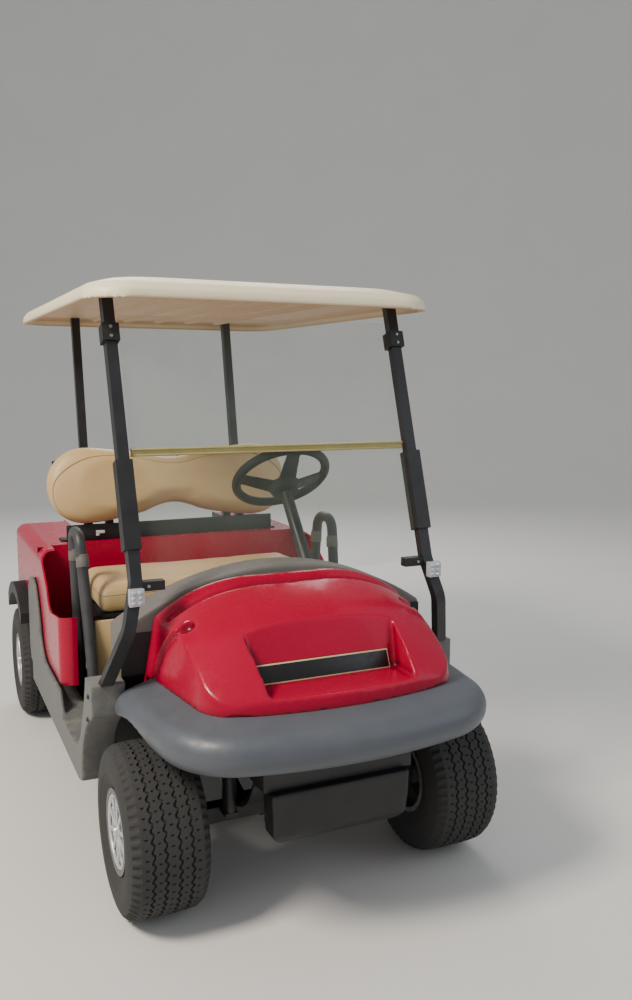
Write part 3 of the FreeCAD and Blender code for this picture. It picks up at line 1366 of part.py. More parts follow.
def make_steering_wheel():
    """Rim, three spokes, hub and the shaft that runs down inside the column."""
    rim_radius = size("steering_wheel_radius")
    drop = size("steering_hub_drop")
    height = size("steering_hub_height")
    hub = Part.makeCone(size("steering_hub_radius") - 12, size("steering_hub_radius"), height,
                        Vec(0, 0, -drop - height))
    shape = Part.makeTorus(rim_radius, size("steering_grip_radius")).fuse(hub)
    spoke_low = -drop - 14
    for turn in (0, 180, 270):
        spoke = polygon_prism([(30, -32, spoke_low), (30, 32, spoke_low), (rim_radius - 4, 22, -6),
                               (rim_radius - 4, -22, -6)], (0, 0, size("steering_spoke_thickness")))
        spoke.rotate(Vec(0, 0, 0), Vec(0, 0, 1), turn)
        shape = shape.fuse(spoke)
    length = size("column_length")
    shaft = Part.makeCylinder(size("shaft_radius"), length, Vec(0, 0, -60 - length))
    shape = shape.fuse(shaft).removeSplitter()
    shape.Placement = FreeCAD.Placement(steering_point(0), FreeCAD.Rotation(Vec(0, 0, 1), steering_axis()))
    finished_shape("steering_wheel", shape)


def make_steering_column():
    """The column tube from the toe board up to the steering wheel."""
    start = steering_point(70 + size("column_length"))
    end = steering_point(70)
    bore = size("shaft_radius") + size("running_gap")
    tube = rod(tuple(start), tuple(end), size("column_radius"))
    tube = tube.cut(rod(tuple(start), tuple(end), bore))
    finished_shape("steering_column", tube)


# Pedals: floor's side in to the pad's inner edge, width, low end and length along the toe board.
PEDALS = ((232, 78, 60, 74), (126, 60, 24, 130))


def make_pedals():
    """Brake and accelerator pads on arms from the toe board."""
    foot = Vec(0, -size("floor_front") + size("floor_thickness") / 2,
               size("rail_bottom") + size("rail_height") + size("floor_thickness"))
    head = Vec(0, -size("toe_board_front") + size("floor_thickness"), size("toe_board_top"))
    along = (head - foot).normalize()
    away = Vec(1, 0, 0).cross(along)
    if away.y < 0:
        away = away * -1
    plates = []
    for reach, width, low, length in PEDALS:
        x = size("floor_half_width") - reach
        def corner(up, out):
            spot = foot + along * up + away * out
            return (x, spot.y, spot.z)
        plate = polygon_prism([corner(low, 44), corner(low, 52), corner(low + length, 52),
                               corner(low + length, 44)], (width, 0, 0))
        middle = x + width / 2
        top = foot + along * (low + length - 14) + away * 46
        root = foot + along * (low + length - 14)
        arm = rod((middle, root.y, root.z), (middle, top.y, top.z), 7)
        plates.append(plate.fuse(arm))
    finished_shape("pedals", Part.makeCompound(plates))


def make_rear_axle():
    """Axle tubes with the differential in the middle and a backing plate at each end."""
    y = rear_axle_y()
    z = size("tyre_radius")
    end = size("rear_track") / 2 - size("hub_inner_reach") - 2
    shape = rod((-end, y, z), (end, y, z), size("axle_tube_radius"))
    middle = Part.makeSphere(size("differential_radius"), Vec(60, y, z))
    shape = shape.fuse(middle)
    motor_y = y - size("motor_ahead")
    casing = block((34, motor_y, z - 56), (86, y, z + 56))
    nose = rod((34, motor_y, z), (86, motor_y, z), size("motor_radius") - 14)
    shape = shape.fuse(casing).fuse(nose)
    stub_end = size("rear_track") / 2 + size("wheel_disc_offset")
    shape = shape.fuse(rod((-stub_end, y, z), (stub_end, y, z), size("spindle_radius")))
    finished_shape("rear_axle", shape.removeSplitter())


def make_motor():
    """The drive motor bolted to the side of the differential."""
    y = rear_axle_y() - size("motor_ahead")
    z = size("tyre_radius")
    body = rod((34 - size("motor_length"), y, z), (34, y, z), size("motor_radius"))
    finished_shape("motor", body)


def leaf(x, y, half_span, low, rise):
    """One bowed spring pack."""
    wide = size("leaf_width") / 2
    thick = size("leaf_thickness")
    bottom = Part.Arc(Vec(x - wide, y - half_span, low + rise), Vec(x - wide, y, low),
                      Vec(x - wide, y + half_span, low + rise)).toShape()
    top = Part.Arc(Vec(x - wide, y + half_span, low + rise + thick), Vec(x - wide, y, low + thick),
                   Vec(x - wide, y - half_span, low + rise + thick)).toShape()
    ends = [Part.LineSegment(bottom.Vertexes[1].Point, top.Vertexes[0].Point).toShape(),
            Part.LineSegment(top.Vertexes[1].Point, bottom.Vertexes[0].Point).toShape()]
    wire = Part.Wire([bottom, ends[0], top, ends[1]])
    return Part.Face(wire).extrude(Vec(2 * wide, 0, 0))


def make_springs():
    """Leaf springs under the rails in front and beside them at the rear."""
    front_low = size("tyre_radius") + size("beam_height") / 2 + size("seating_gap")
    front_top = size("rail_bottom") + size("rail_front_rise")
    front = leaf(size("rail_half_spacing"), front_axle_y(), 178, front_low,
                 front_top - front_low - size("leaf_thickness"))
    rear_low = size("tyre_radius") + size("axle_tube_radius") + size("seating_gap")
    rear_top = size("rail_bottom") + size("rail_rear_rise")
    rear = leaf(size("rear_spring_half_spacing"), rear_axle_y(), 195, rear_low,
                rear_top - rear_low - size("leaf_thickness"))
    finished_shape("leaf_springs", both_sides(Part.makeCompound([front, rear])))


def make_dampers():
    """Shock absorbers from a lug ahead of the front beam up beside the rails."""
    z = size("tyre_radius") + size("beam_height") / 2
    top = size("rail_bottom") + size("rail_front_rise") + size("rail_height")
    x = size("rail_half_spacing") + size("rail_width") / 2 + size("damper_radius") + size("seating_gap")
    y = front_axle_y() - size("beam_depth") / 2 - size("damper_radius") - size("damper_stand")
    body = rod((x, y, z), (x, y, top), size("damper_radius"))
    finished_shape("shock_absorbers", both_sides(body))


def make_battery_block():
    """The battery pack on the rails under the seat, as one block."""
    low = size("rail_bottom") + size("rail_height") + size("floor_thickness")
    half = size("battery_half_width")
    start = size("battery_front")
    end = start + size("battery_length")
    finished_shape("battery_block", block((-half, start, low), (half, end, low + size("battery_height"))))


def make_bag_rack():
    """The rack behind the rear struts that bags lean on, with two strap plates."""
    half = size("rack_half_width")
    z = size("rack_height")
    tall = size("rack_bar_height")
    deep = size("rack_bar_depth")
    y = rear_strut_y(z)
    back = y + size("strut_size") / 2 + deep
    plate = size("rack_plate_half")
    bar = block((-half, y, z - tall / 2), (half, back, z + tall / 2))
    for side in (-1, 1):
        middle = side * size("rack_plate_spacing") / 2
        bar = bar.fuse(block((middle - plate, back - 2, z - tall / 2 - 10),
                             (middle + plate, back + deep, z + tall / 2 + 10)))
    finished_shape("bag_rack", bar.removeSplitter().cut(both_sides(rear_strut())))


def build():
    """Makes every sub-part."""
    for place, side, track, axle in WHEELS:
        make_tyre(place, side, track, axle)
        make_rim(place, side, track, axle)
    make_knuckle("knuckle_right", -1)
    make_knuckle("knuckle_left", 1)
    make_tie_rods()
    make_front_axle()
    make_frame()
    make_floor_pan()
    make_floor_mat()
    make_front_cowl()
    make_dash()
    make_front_bumper()
    make_lower_cover()
    make_rockers()
    make_rear_body()
    make_bag_well()
    make_rear_flares()
    make_rear_bumper()
    make_seat_skirt()
    make_seat_hinges()
    make_seat()
    make_seat_back()
    make_hip_restraints()
    make_front_struts()
    make_rear_struts()
    make_canopy()
    make_windscreen()
    make_strut_sleeves()
    make_marker_lamps()
    make_steering_wheel()
    make_steering_column()
    make_pedals()
    make_rear_axle()
    make_motor()
    make_springs()
    make_dampers()
    make_battery_block()
    make_bag_rack()


def check_and_write():
    """Stops on any failed feature or bad solid, then writes one file per sub-part."""
    doc.recompute()
    for item in doc.Objects:
        if "Invalid" in item.State or "Error" in item.State:
            raise ValueError(f"{item.Label}: {item.State}")
    unsound = [piece.Label for piece in pieces
               if piece.Shape.isNull() or not piece.Shape.isValid() or not piece.Shape.Solids]
    if unsound:
        raise ValueError(f"no sound solid: {unsound}")
    os.makedirs("parts", exist_ok=True)
    for piece in pieces:
        piece.Shape.exportStep(f"parts/{piece.Label}.step")
        print(f"{piece.Label}: {len(piece.Shape.Solids)} solid(s), {piece.Shape.Volume / 1e6:.3f} litres")


build()
check_and_write()
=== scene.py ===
import math

import bpy
from mathutils import Matrix, Vector


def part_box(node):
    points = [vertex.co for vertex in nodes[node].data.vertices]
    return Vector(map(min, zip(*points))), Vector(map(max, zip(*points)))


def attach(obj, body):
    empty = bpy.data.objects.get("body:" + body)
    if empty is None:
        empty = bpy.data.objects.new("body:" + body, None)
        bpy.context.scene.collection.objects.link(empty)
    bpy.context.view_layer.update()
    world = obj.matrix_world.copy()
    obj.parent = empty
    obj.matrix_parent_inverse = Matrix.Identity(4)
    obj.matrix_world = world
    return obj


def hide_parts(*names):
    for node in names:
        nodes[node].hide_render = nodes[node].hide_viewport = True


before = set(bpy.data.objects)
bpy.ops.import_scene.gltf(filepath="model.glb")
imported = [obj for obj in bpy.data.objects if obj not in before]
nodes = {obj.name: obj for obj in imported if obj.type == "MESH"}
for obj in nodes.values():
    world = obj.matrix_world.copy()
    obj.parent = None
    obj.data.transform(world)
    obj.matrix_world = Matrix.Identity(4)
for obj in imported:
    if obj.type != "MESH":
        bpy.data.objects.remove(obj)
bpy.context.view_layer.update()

# The view: a standing person's eye a little to the right of the cart's nose, looking slightly down.
# Place, angles and lens follow from the cart's real size and its outline in the photo.
eye = Vector((-1.0039, -3.0321, 1.4238))
swing, dip, tilt = math.radians(24.63), math.radians(-7.57), math.radians(0.23)
ahead = Vector((math.sin(swing) * math.cos(dip), math.cos(swing) * math.cos(dip), math.sin(dip)))
level = Vector((math.cos(swing), -math.sin(swing), 0))
upward = level.cross(ahead)
across = level * math.cos(tilt) + upward * math.sin(tilt)
over = upward * math.cos(tilt) - level * math.sin(tilt)
camera_data = bpy.data.cameras.new("camera")
camera_data.sensor_fit = "AUTO"
camera_data.sensor_width = 36
camera_data.lens = 32.65
camera_data.clip_start = 0.05
camera = bpy.data.objects.new("camera", camera_data)
bpy.context.scene.collection.objects.link(camera)
stance = Matrix((across, over, -ahead)).transposed().to_4x4()
stance.translation = eye
camera.matrix_world = stance
bpy.context.scene.camera = camera

# Floor and backdrop: one wide sheet under matt paint. It lies flat under the cart and is swept up
# behind it in a round curve, so that no corner shows from the front.


def linear(code):
    """The linear colour of an sRGB hex value."""
    parts = [int(code[place:place + 2], 16) / 255 for place in (0, 2, 4)]
    return [part / 12.92 if part <= 0.04045 else ((part + 0.055) / 1.055) ** 2.4 for part in parts] + [1.0]


def add_node(material, kind, inputs, **settings):
    """Adds a node; each input is set to a value, or linked from another node's output."""
    tree = material.node_tree
    node = tree.nodes.new(kind)
    for name, value in settings.items():
        setattr(node, name, value)
    for name, value in inputs.items():
        if isinstance(value, bpy.types.NodeSocket):
            tree.links.new(value, node.inputs[name])
        else:
            node.inputs[name].default_value = value
    return node


def new_material(name, colour, **shader):
    """A material with its shader's constants set; returns it with its Object coordinates and its shader."""
    material = bpy.data.materials.new(name)
    material.use_nodes = True
    material.diffuse_color = linear(colour)
    surface = material.node_tree.nodes["Principled BSDF"]
    surface.inputs["Base Color"].default_value = linear(colour)
    for socket, value in shader.items():
        surface.inputs[socket.replace("_", " ").title().replace("Ior", "IOR")].default_value = value
    place = add_node(material, "ShaderNodeTexCoord", {}).outputs["Object"]
    return material, place, surface


def feed(material, surface, **links):
    """Links outputs into the shader's sockets."""
    for socket, output in links.items():
        material.node_tree.links.new(output, surface.inputs[socket.replace("_", " ").title()])


def weathered(material, place, surface, tones=None, gloss=None, grain=None):
    """Patches in a surface, each kind led by its width in mm.

    tones: width, dark and pale colour. gloss: width, lowest and highest roughness. grain: width,
    depth in mm and how rugged it is.
    """
    for look, values in (("tones", tones), ("gloss", gloss), ("grain", grain)):
        if values is None:
            continue
        width_mm, first, second = values
        patches = add_node(material, "ShaderNodeTexNoise",
                           {"Vector": place, "Scale": 1000 / width_mm, "Roughness": 0.6,
                            "Detail": second if look == "grain" else 3}).outputs["Fac"]
        if look == "tones":
            mix = add_node(material, "ShaderNodeMix", {0: patches, 6: linear(first), 7: linear(second)},
                           data_type="RGBA")
            feed(material, surface, base_color=mix.outputs[2])
        elif look == "gloss":
            spread = add_node(material, "ShaderNodeMapRange",
                              {"Value": patches, "From Min": 0.3, "From Max": 0.7, "To Min": first,
                               "To Max": second})
            feed(material, surface, roughness=spread.outputs["Result"])
        else:
            bump = add_node(material, "ShaderNodeBump", {"Height": patches, "Distance": first / 1000,
                                                         "Strength": 1.0})
            feed(material, surface, normal=bump.outputs["Normal"])


def activate(piece):
    """Selects this piece alone."""
    bpy.ops.object.select_all(action="DESELECT")
    piece.select_set(True)
    bpy.context.view_layer.objects.active = piece


def with_modifier(piece, kind, **settings):
    """Adds a modifier with its settings and applies it."""
    modifier = piece.modifiers.new(kind.lower(), kind)
    for name, value in settings.items():
        setattr(modifier, name, value)
    activate(piece)
    bpy.ops.object.modifier_apply(modifier=modifier.name)


def smooth_shaded(piece, angle=35):
    """Smooth shading, with edges sharper than the angle kept."""
    activate(piece)
    bpy.ops.object.shade_smooth_by_angle(angle=math.radians(angle))


# Matt pale paint, with patches so wide and faint that the floor reads as a surface and no more.
floor_paint, place, surface = new_material("pale_studio_floor", "D9D7D2", roughness=0.9)
weathered(floor_paint, place, surface, tones=(900, "D6D4CF", "DCDAD5"))
sheet_width, wall_height, sweep_radius, sheet_turn = 30, 14, 8, 25
bpy.ops.object.select_all(action="DESELECT")
bpy.ops.mesh.primitive_plane_add(size=sheet_width, location=(0, 0, 0))
floor = bpy.context.object
floor.name = "floor"
bpy.ops.object.mode_set(mode="EDIT")
bpy.ops.mesh.select_all(action="DESELECT")
bpy.ops.object.mode_set(mode="OBJECT")
for edge in floor.data.edges:
    edge.select = all(floor.data.vertices[end].co.y > 0 for end in edge.vertices)
bpy.ops.object.mode_set(mode="EDIT")
bpy.ops.mesh.select_mode(type="EDGE")
bpy.ops.mesh.extrude_region_move(TRANSFORM_OT_translate={"value": (0, 0, wall_height)})
bpy.ops.mesh.select_all(action="SELECT")
bpy.ops.transform.rotate(value=math.radians(sheet_turn), orient_axis="Z", center_override=(0, 0, 0))
bpy.ops.object.mode_set(mode="OBJECT")
with_modifier(floor, "BEVEL", width=sweep_radius, segments=32)
smooth_shaded(floor, 60)
floor.data.materials.append(floor_paint)

# Sky and lights: an even pale sky with three soft boxes, a warm one high on the cart's right, a faint
# cool one on its left, and one behind that draws a bright rim along the canopy and panels.
sky = bpy.data.worlds.new("soft_sky")
bpy.context.scene.world = sky
sky.use_nodes = True
sky.node_tree.nodes["Background"].inputs["Color"].default_value = linear("E6EAEE")
sky.node_tree.nodes["Background"].inputs["Strength"].default_value = 0.62
aim = Vector((0, -0.2, 0.7))
# Each light's name, place, width, power and colour.
for name, spot, width, power, tint in (("key", (-3.6, -1.4, 4.6), 1.3, 370, "FFF4E6"),
                                       ("fill", (3.6, -3.4, 2.6), 3.5, 45, "E6EEFA"),
                                       ("rim", (1.5, 4.5, 3.8), 3.0, 110, "FFFFFF")):
    lamp = bpy.data.lights.new(name, "AREA")
    lamp.energy = power
    lamp.size = width
    lamp.color = linear(tint)[:3]
    holder = bpy.data.objects.new(name, lamp)
    bpy.context.scene.collection.objects.link(holder)
    holder.location = spot
    holder.rotation_euler = (aim - holder.location).to_track_quat("-Z", "Y").to_euler()

# The frame: box-section rails and cross members of welded steel. The struts, seat frame, column, springs,
# shock absorbers and tie rods have the same powder coat, baked on.


def paint(node, material):
    """Gives a carried-over solid its material."""
    nodes[node].data.materials.clear()
    nodes[node].data.materials.append(material)


# Powder coat: satin black, rubbed a little paler in patches, under a fine orange peel. The peel is half
# as wide in life and is drawn coarser, so that it shows.
powder_coat, place, surface = new_material("black_powder_coat_on_steel", "17181B", roughness=0.42, ior=1.5)
weathered(powder_coat, place, surface, tones=(60, "141517", "222327"), gloss=(60, 0.34, 0.52),
          grain=(1.2, 0.06, 1))
for node in ("frame_rails", "cross_members", "seat_hinges", "seat_back_frame", "front_struts", "rear_struts",
             "steering_column", "shock_absorbers", "leaf_springs", "tie_rods"):
    paint(node, powder_coat)

# Axles, knuckles and motor: cast iron and drawn tube, machined where they join, brushed over with
# chassis paint.
# The paint looks nearly black and dull, brown where dust clings, over the pits of the casting.
chassis_paint, place, surface = new_material("chassis_paint_on_cast_iron", "26272A", roughness=0.6, ior=1.5)
weathered(chassis_paint, place, surface, tones=(45, "1B1C1E", "3B3937"), gloss=(45, 0.5, 0.8),
          grain=(3, 0.35, 3))
for node in ("front_axle", "rear_axle", "motor", "knuckle_right", "knuckle_left"):
    paint(node, chassis_paint)

# Rims: pressed steel under silver paint, bolted to the hubs. They hardly show behind the covers.
# Brake dust and painted shade make the silver dull and dark, so that the gaps behind the covers' spokes
# read as shade; the dust lies in blotches.
dust_and_shade_dark_silver, place, surface = new_material("rim_paint_dark_with_dust_and_painted_shade", "6E6F70", metallic=0.5, roughness=0.5)
weathered(dust_and_shade_dark_silver, place, surface, tones=(25, "4E4E4E", "858688"))
places = ("front_right", "front_left", "rear_right", "rear_left")
for spot in places:
    paint("wheel_" + spot, dust_and_shade_dark_silver)

# Wheel covers: silver-painted plastic pressed inside the rim's lip, ten flat spokes from a capped hub to
# an outer ring; a rubber valve stands between two of the spokes.


def spot_body(spot):
    """The body that a corner's wheel turns with."""
    end, side = spot.split("_")
    return f"{end}_wheel_{side}"


def placed(piece):
    """Puts a new primitive's place, turn and size into its mesh."""
    bpy.ops.object.transform_apply(location=True, rotation=True, scale=True)
    return piece


def new_block(centre, size, turn=(0, 0, 0)):
    """A block about its centre, in metres, turned by degrees."""
    bpy.ops.object.select_all(action="DESELECT")
    bpy.ops.mesh.primitive_cube_add(size=1, location=centre, rotation=[math.radians(value) for value in turn],
                                    scale=size)
    return placed(bpy.context.object)


def new_round(centre, radius, depth, axis, tip=None, sides=40):
    """A round bar about its centre along an axis; with a tip it narrows to that radius."""
    bpy.ops.object.select_all(action="DESELECT")
    facing = Vector(axis).to_track_quat("Z", "Y").to_euler()
    bpy.ops.mesh.primitive_cone_add(vertices=sides, radius1=radius, radius2=radius if tip is None else tip,
                                    depth=depth, location=centre, rotation=facing)
    return placed(bpy.context.object)


def new_ring(centre, radius, thickness, axis):
    """A round ring about its centre, across an axis."""
    bpy.ops.object.select_all(action="DESELECT")
    facing = Vector(axis).to_track_quat("Z", "Y").to_euler()
    bpy.ops.mesh.primitive_torus_add(major_segments=72, minor_segments=14, major_radius=radius,
                                     minor_radius=thickness / 2, location=centre, rotation=facing)
    return placed(bpy.context.object)


def finished(name, parts, material, body, round_mm=0.0, angle=35):
    """Joins parts into one named piece, rounds its edges and lets it ride on a body."""
    activate(parts[0])
    for part in parts:
        part.select_set(True)
    if len(parts) > 1:
        bpy.ops.object.join()
    piece = bpy.context.object
    piece.name = name
    piece.data.materials.clear()
    piece.data.materials.append(material)
    if round_mm:
        with_modifier(piece, "BEVEL", width=round_mm / 1000, segments=2, limit_method="ANGLE",
                      angle_limit=math.radians(30))
    smooth_shaded(piece, angle)
    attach(piece, body)
    return piece


# Silver wheel paint: a bright, soft metal glint that varies a little with the lie of its flakes.
silver_paint, place, surface = new_material("silver_wheel_paint", "C9CBCD", metallic=0.7, roughness=0.3)
weathered(silver_paint, place, surface, tones=(25, "BFC1C4", "DADCDE"), gloss=(25, 0.24, 0.4))
# Valve rubber: plain dull black, shinier where a cap has rubbed it.
valve_rubber, place, surface = new_material("black_valve_rubber", "1B1B1C", roughness=0.7, ior=1.5)
weathered(valve_rubber, place, surface, gloss=(5, 0.6, 0.8))
# From the wheel's middle to the cover's face, and the rings: step out from the face, radius, thickness.
face_reach = 0.090
cover_rings = ((0.002, 0.0935, 0.0115), (-0.004, 0.0830, 0.0060))
# The hub and its cap: step out from the face, radius, radius at the tip, depth.
hub_steps = ((-0.008, 0.027, 0.023, 0.026), (0.008, 0.0165, 0.014, 0.008))
# A spoke's flat and its web: step out from the face, distance of the middle from the axle, size.
spokes = 10
spoke_steps = ((0, 0.057, (0.009, 0.0125, 0.070)), (-0.009, 0.055, (0.014, 0.005, 0.068)))
valve_reach, valve_from_axle, valve_turn = 0.066, 0.0895, 0.3
hubs = {}
for spot in places:
    low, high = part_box("wheel_" + spot)
    hubs[spot] = (low + high) / 2
    side = -1 if "right" in spot else 1
    outboard = Vector((side, 0, 0))
    face = hubs[spot] + outboard * face_reach
    parts = [new_ring(face + outboard * out, radius, thickness, outboard)
             for out, radius, thickness in cover_rings]
    for out, radius, tip, depth in hub_steps:
        parts.append(new_round(face + outboard * out, radius, depth, outboard, tip=tip))
    for step in range(spokes):
        lean = 360 / spokes * step
        radial = Vector((0, -math.sin(math.radians(lean)), math.cos(math.radians(lean))))
        for out, from_axle, size in spoke_steps:
            parts.append(new_block(face + outboard * out + radial * from_axle, size, (lean, 0, 0)))
    finished("wheel_cover_" + spot, parts, silver_paint, spot_body(spot), 1.2)
    stem = hubs[spot] + Vector((side * valve_reach, valve_from_axle * math.sin(valve_turn),
                                valve_from_axle * math.cos(valve_turn)))
    finished("valve_" + spot, [new_round(stem, 0.0035, 0.030, outboard, tip=0.0028, sides=16),
                               new_round(stem + outboard * 0.017, 0.0042, 0.008, outboard, sides=16)],
             valve_rubber, spot_body(spot), 0.5)

# Tyres: moulded turf rubber on the rims. Four zigzag grooves run round the tread, short sipes cross its
# ribs, and the shoulders are notched.
# Worn rubber looks dark grey and dull, browner where dust stays in its fine scratches.
rubber, place, surface = new_material("worn_tyre_rubber", "2B2C2E", roughness=0.82, ior=1.5)
weathered(rubber, place, surface, tones=(35, "232426", "3A3937"), gloss=(35, 0.74, 0.92),
          grain=(2.5, 0.3, 3))
# The side wall from bead to shoulder, as side reach and radius in mm.
wall = ((89, 103), (92, 107), (94, 117), (99.5, 130), (105, 146), (105.6, 150), (107, 151.4), (107.4, 155),
        (106.9, 156.6), (108, 162), (108, 175), (106.5, 187.8), (103.5, 200), (101, 208), (98, 214.6),
        (91, 220.4), (80, 225.6))
# The crown is flat at first and then falls towards the shoulder, in mm.
crown_radius, flat_reach, fall, fall_reach = 228.6, 44, 3, 36
# Each groove's side reach in mm, with the corners of the rib inside it; then the grooves' section.
grooves = ((50, (38, 30)), (18, (5,)))
groove_half, floor_half, groove_depth, zigzag = 3.6, 2.6, 6.0, 3.0
# Each siped rib's middle, with the ring of the zigzag's four that is cut.
sipes = ((66.5, 3), (34, 1), (0, 3))
sipe_rim, sipe_depth = 0.0024, 0.004
# The notches in the shoulders: from and to a side reach in mm, then how deep, in metres.
notch_from, notch_to, notch_in, notch_down = 89, 99, 0.0045, 0.0035
rings = 224
weld = 0.00002


def tread_radius(reach):
    """The crown's radius at a side reach, in mm."""
    if reach < flat_reach:
        return crown_radius
    return crown_radius - fall * (reach - flat_reach) / fall_reach


half_section = list(wall) + [(71, tread_radius(71)), (62, tread_radius(62))]
for groove, rib in grooves:
    top = tread_radius(groove)
    half_section += [(groove + groove_half, top), (groove + floor_half, top - groove_depth),
                     (groove - floor_half, top - groove_depth), (groove - groove_half, top)]
    half_section += [(reach, crown_radius) for reach in rib]
section = [(-reach, radius) for reach, radius in half_section]
section += [(reach, radius) for reach, radius in reversed(half_section)]


def treaded_tyre(name, centre):
    """A tyre: the section spun round its axle, its grooves stepped sideways, its ribs siped."""
    mesh = bpy.data.meshes.new(name)
    corners = [(reach / 1000, 0, radius / 1000) for reach, radius in section]
    mesh.from_pydata(corners, [(step, (step + 1) % len(corners)) for step in range(len(corners))], [])
    piece = bpy.data.objects.new(name, mesh)
    bpy.context.scene.collection.objects.link(piece)
    activate(piece)
    bpy.ops.object.mode_set(mode="EDIT")
    bpy.ops.mesh.select_mode(type="VERT")
    bpy.ops.mesh.select_all(action="SELECT")
    bpy.ops.mesh.spin(steps=rings, angle=2 * math.pi, center=(0, 0, 0), axis=(1, 0, 0))
    bpy.ops.mesh.select_all(action="SELECT")
    bpy.ops.mesh.remove_doubles(threshold=weld)
    bpy.ops.mesh.normals_make_consistent(inside=False)
    bpy.ops.mesh.select_mode(type="FACE")
    bpy.ops.mesh.select_all(action="DESELECT")
    bpy.ops.object.mode_set(mode="OBJECT")
    for point in mesh.vertices:
        ring = round(math.atan2(point.co.y, point.co.z) / (2 * math.pi / rings)) % rings
        radius = math.hypot(point.co.y, point.co.z)
        reach = abs(point.co.x) * 1000
        if any(abs(reach - groove) < groove_half + 0.2 for groove, _ in grooves) and radius > 0.2:
            point.co.x += (zigzag if ring % 4 < 2 else -zigzag) / 1000
        if radius > 0.21 and notch_from < reach < notch_to and ring % 4 < 2:
            point.co.x -= math.copysign(notch_in, point.co.x)
            point.co.y *= 1 - notch_down / radius
            point.co.z *= 1 - notch_down / radius
    for face in mesh.polygons:
        middle = face.center
        ring = math.floor(math.atan2(middle.y, middle.z) / (2 * math.pi / rings)) % rings
        reach = abs(middle.x) * 1000
        siped = any(abs(reach - rib) < 0.5 and ring % 4 == cut for rib, cut in sipes)
        face.select = siped and math.hypot(middle.y, middle.z) > 0.22
    bpy.ops.object.mode_set(mode="EDIT")
    bpy.ops.mesh.inset(thickness=sipe_rim, depth=-sipe_depth, use_individual=True)
    bpy.ops.mesh.select_all(action="SELECT")
    bpy.ops.transform.translate(value=centre)
    bpy.ops.object.mode_set(mode="OBJECT")
    return piece


for spot in places:
    piece = treaded_tyre("tread_" + spot, hubs[spot])
    finished("tread_" + spot, [piece], rubber, spot_body(spot), angle=28)
    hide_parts("tyre_" + spot)

# Floor and mat: a floor pan in grained black polypropylene, as of the other black mouldings, and a ribbed
# rubber mat glued on it. The plastic looks half dull and scuffed in patches. Its grain is under 1 mm in
# life and is drawn coarser, so that it shows.
black_plastic, place, surface = new_material("grained_black_polypropylene", "1A1B1D", roughness=0.5, ior=1.49)
weathered(black_plastic, place, surface, tones=(50, "0F1011", "1F2022"), gloss=(50, 0.42, 0.62),
          grain=(1.6, 0.12, 1))
for node in ("floor_pan", "bag_well", "rear_flares", "rear_bumper", "windscreen_clips", "strut_sleeves",
             "battery_block", "bag_rack", "pedals", "seat_base"):
    paint(node, black_plastic)
# Floor rubber: dull black with trodden-in dust, and ribs along the cart, about 24 mm apart. A wave texture
# makes one wave in each 2 pi / 20 of its scaled length.
rib_mm = 23.687
ribbed, place, surface = new_material("ribbed_floor_rubber", "1C1C1D", roughness=0.75, ior=1.5)
weathered(ribbed, place, surface, tones=(40, "161617", "2B2A28"))
ribs = add_node(ribbed, "ShaderNodeTexWave", {"Vector": place, "Scale": 1000 / rib_mm * math.pi / 10},
                bands_direction="X")
rib_bump = add_node(ribbed, "ShaderNodeBump", {"Height": ribs.outputs["Fac"], "Distance": 0.0012,
                                               "Strength": 1.0})
feed(ribbed, surface, normal=rib_bump.outputs["Normal"])
paint("floor_mat", ribbed)

# Body panels: red ionomer, moulded and coloured right through. The cowl is screwed to the dash and has a
# raised band along its rear edge.


def freed(name, node, material):
    """A free copy of a solid's mesh under a new name, its triangles joined into whole faces."""
    piece = bpy.data.objects.new(name, nodes[node].data.copy())
    bpy.context.scene.collection.objects.link(piece)
    piece.data.materials.clear()
    piece.data.materials.append(material)
    activate(piece)
    bpy.ops.object.mode_set(mode="EDIT")
    bpy.ops.mesh.select_all(action="SELECT")
    bpy.ops.mesh.remove_doubles(threshold=weld)
    bpy.ops.object.mode_set(mode="OBJECT")
    return piece


def new_dome(centre, size):
    """A ball squeezed to this size on each axis."""
    bpy.ops.object.select_all(action="DESELECT")
    bpy.ops.mesh.primitive_uv_sphere_add(segments=20, ring_count=10, radius=0.5, location=centre, scale=size)
    return placed(bpy.context.object)


# The plastic has a deep gloss with a little orange peel; dirt and painted shade darken its creases.
red_gloss, place, surface = new_material("red_ionomer_body_panel", "A40030", roughness=0.24, ior=1.48,
                                         specular_ior_level=0.2, coat_weight=0.14, coat_roughness=0.05)
weathered(red_gloss, place, surface, tones=(160, "9C002B", "AC0034"), gloss=(18, 0.18, 0.32),
          grain=(14, 0.008, 1))
open_red = surface.inputs["Base Color"].links[0].from_socket
# Painted shade: ambient occlusion darkens the creases to a deep red, for the shade and the dirt in them.
shade = add_node(red_gloss, "ShaderNodeAmbientOcclusion", {"Distance": 0.035})
crease_dirt_and_shade = add_node(red_gloss, "ShaderNodeMapRange", {"Value": shade.outputs["AO"], "From Min": 0.55,
                                                    "From Max": 0.92})
red_with_crease_dirt_and_shade = add_node(red_gloss, "ShaderNodeMix", {0: crease_dirt_and_shade.outputs["Result"], 6: linear("3C000C"),
                                                    7: open_red}, data_type="RGBA")
feed(red_gloss, surface, base_color=red_with_crease_dirt_and_shade.outputs[2])
paint("rear_body", red_gloss)
cowl = freed("cowl_panel", "front_cowl", red_gloss)
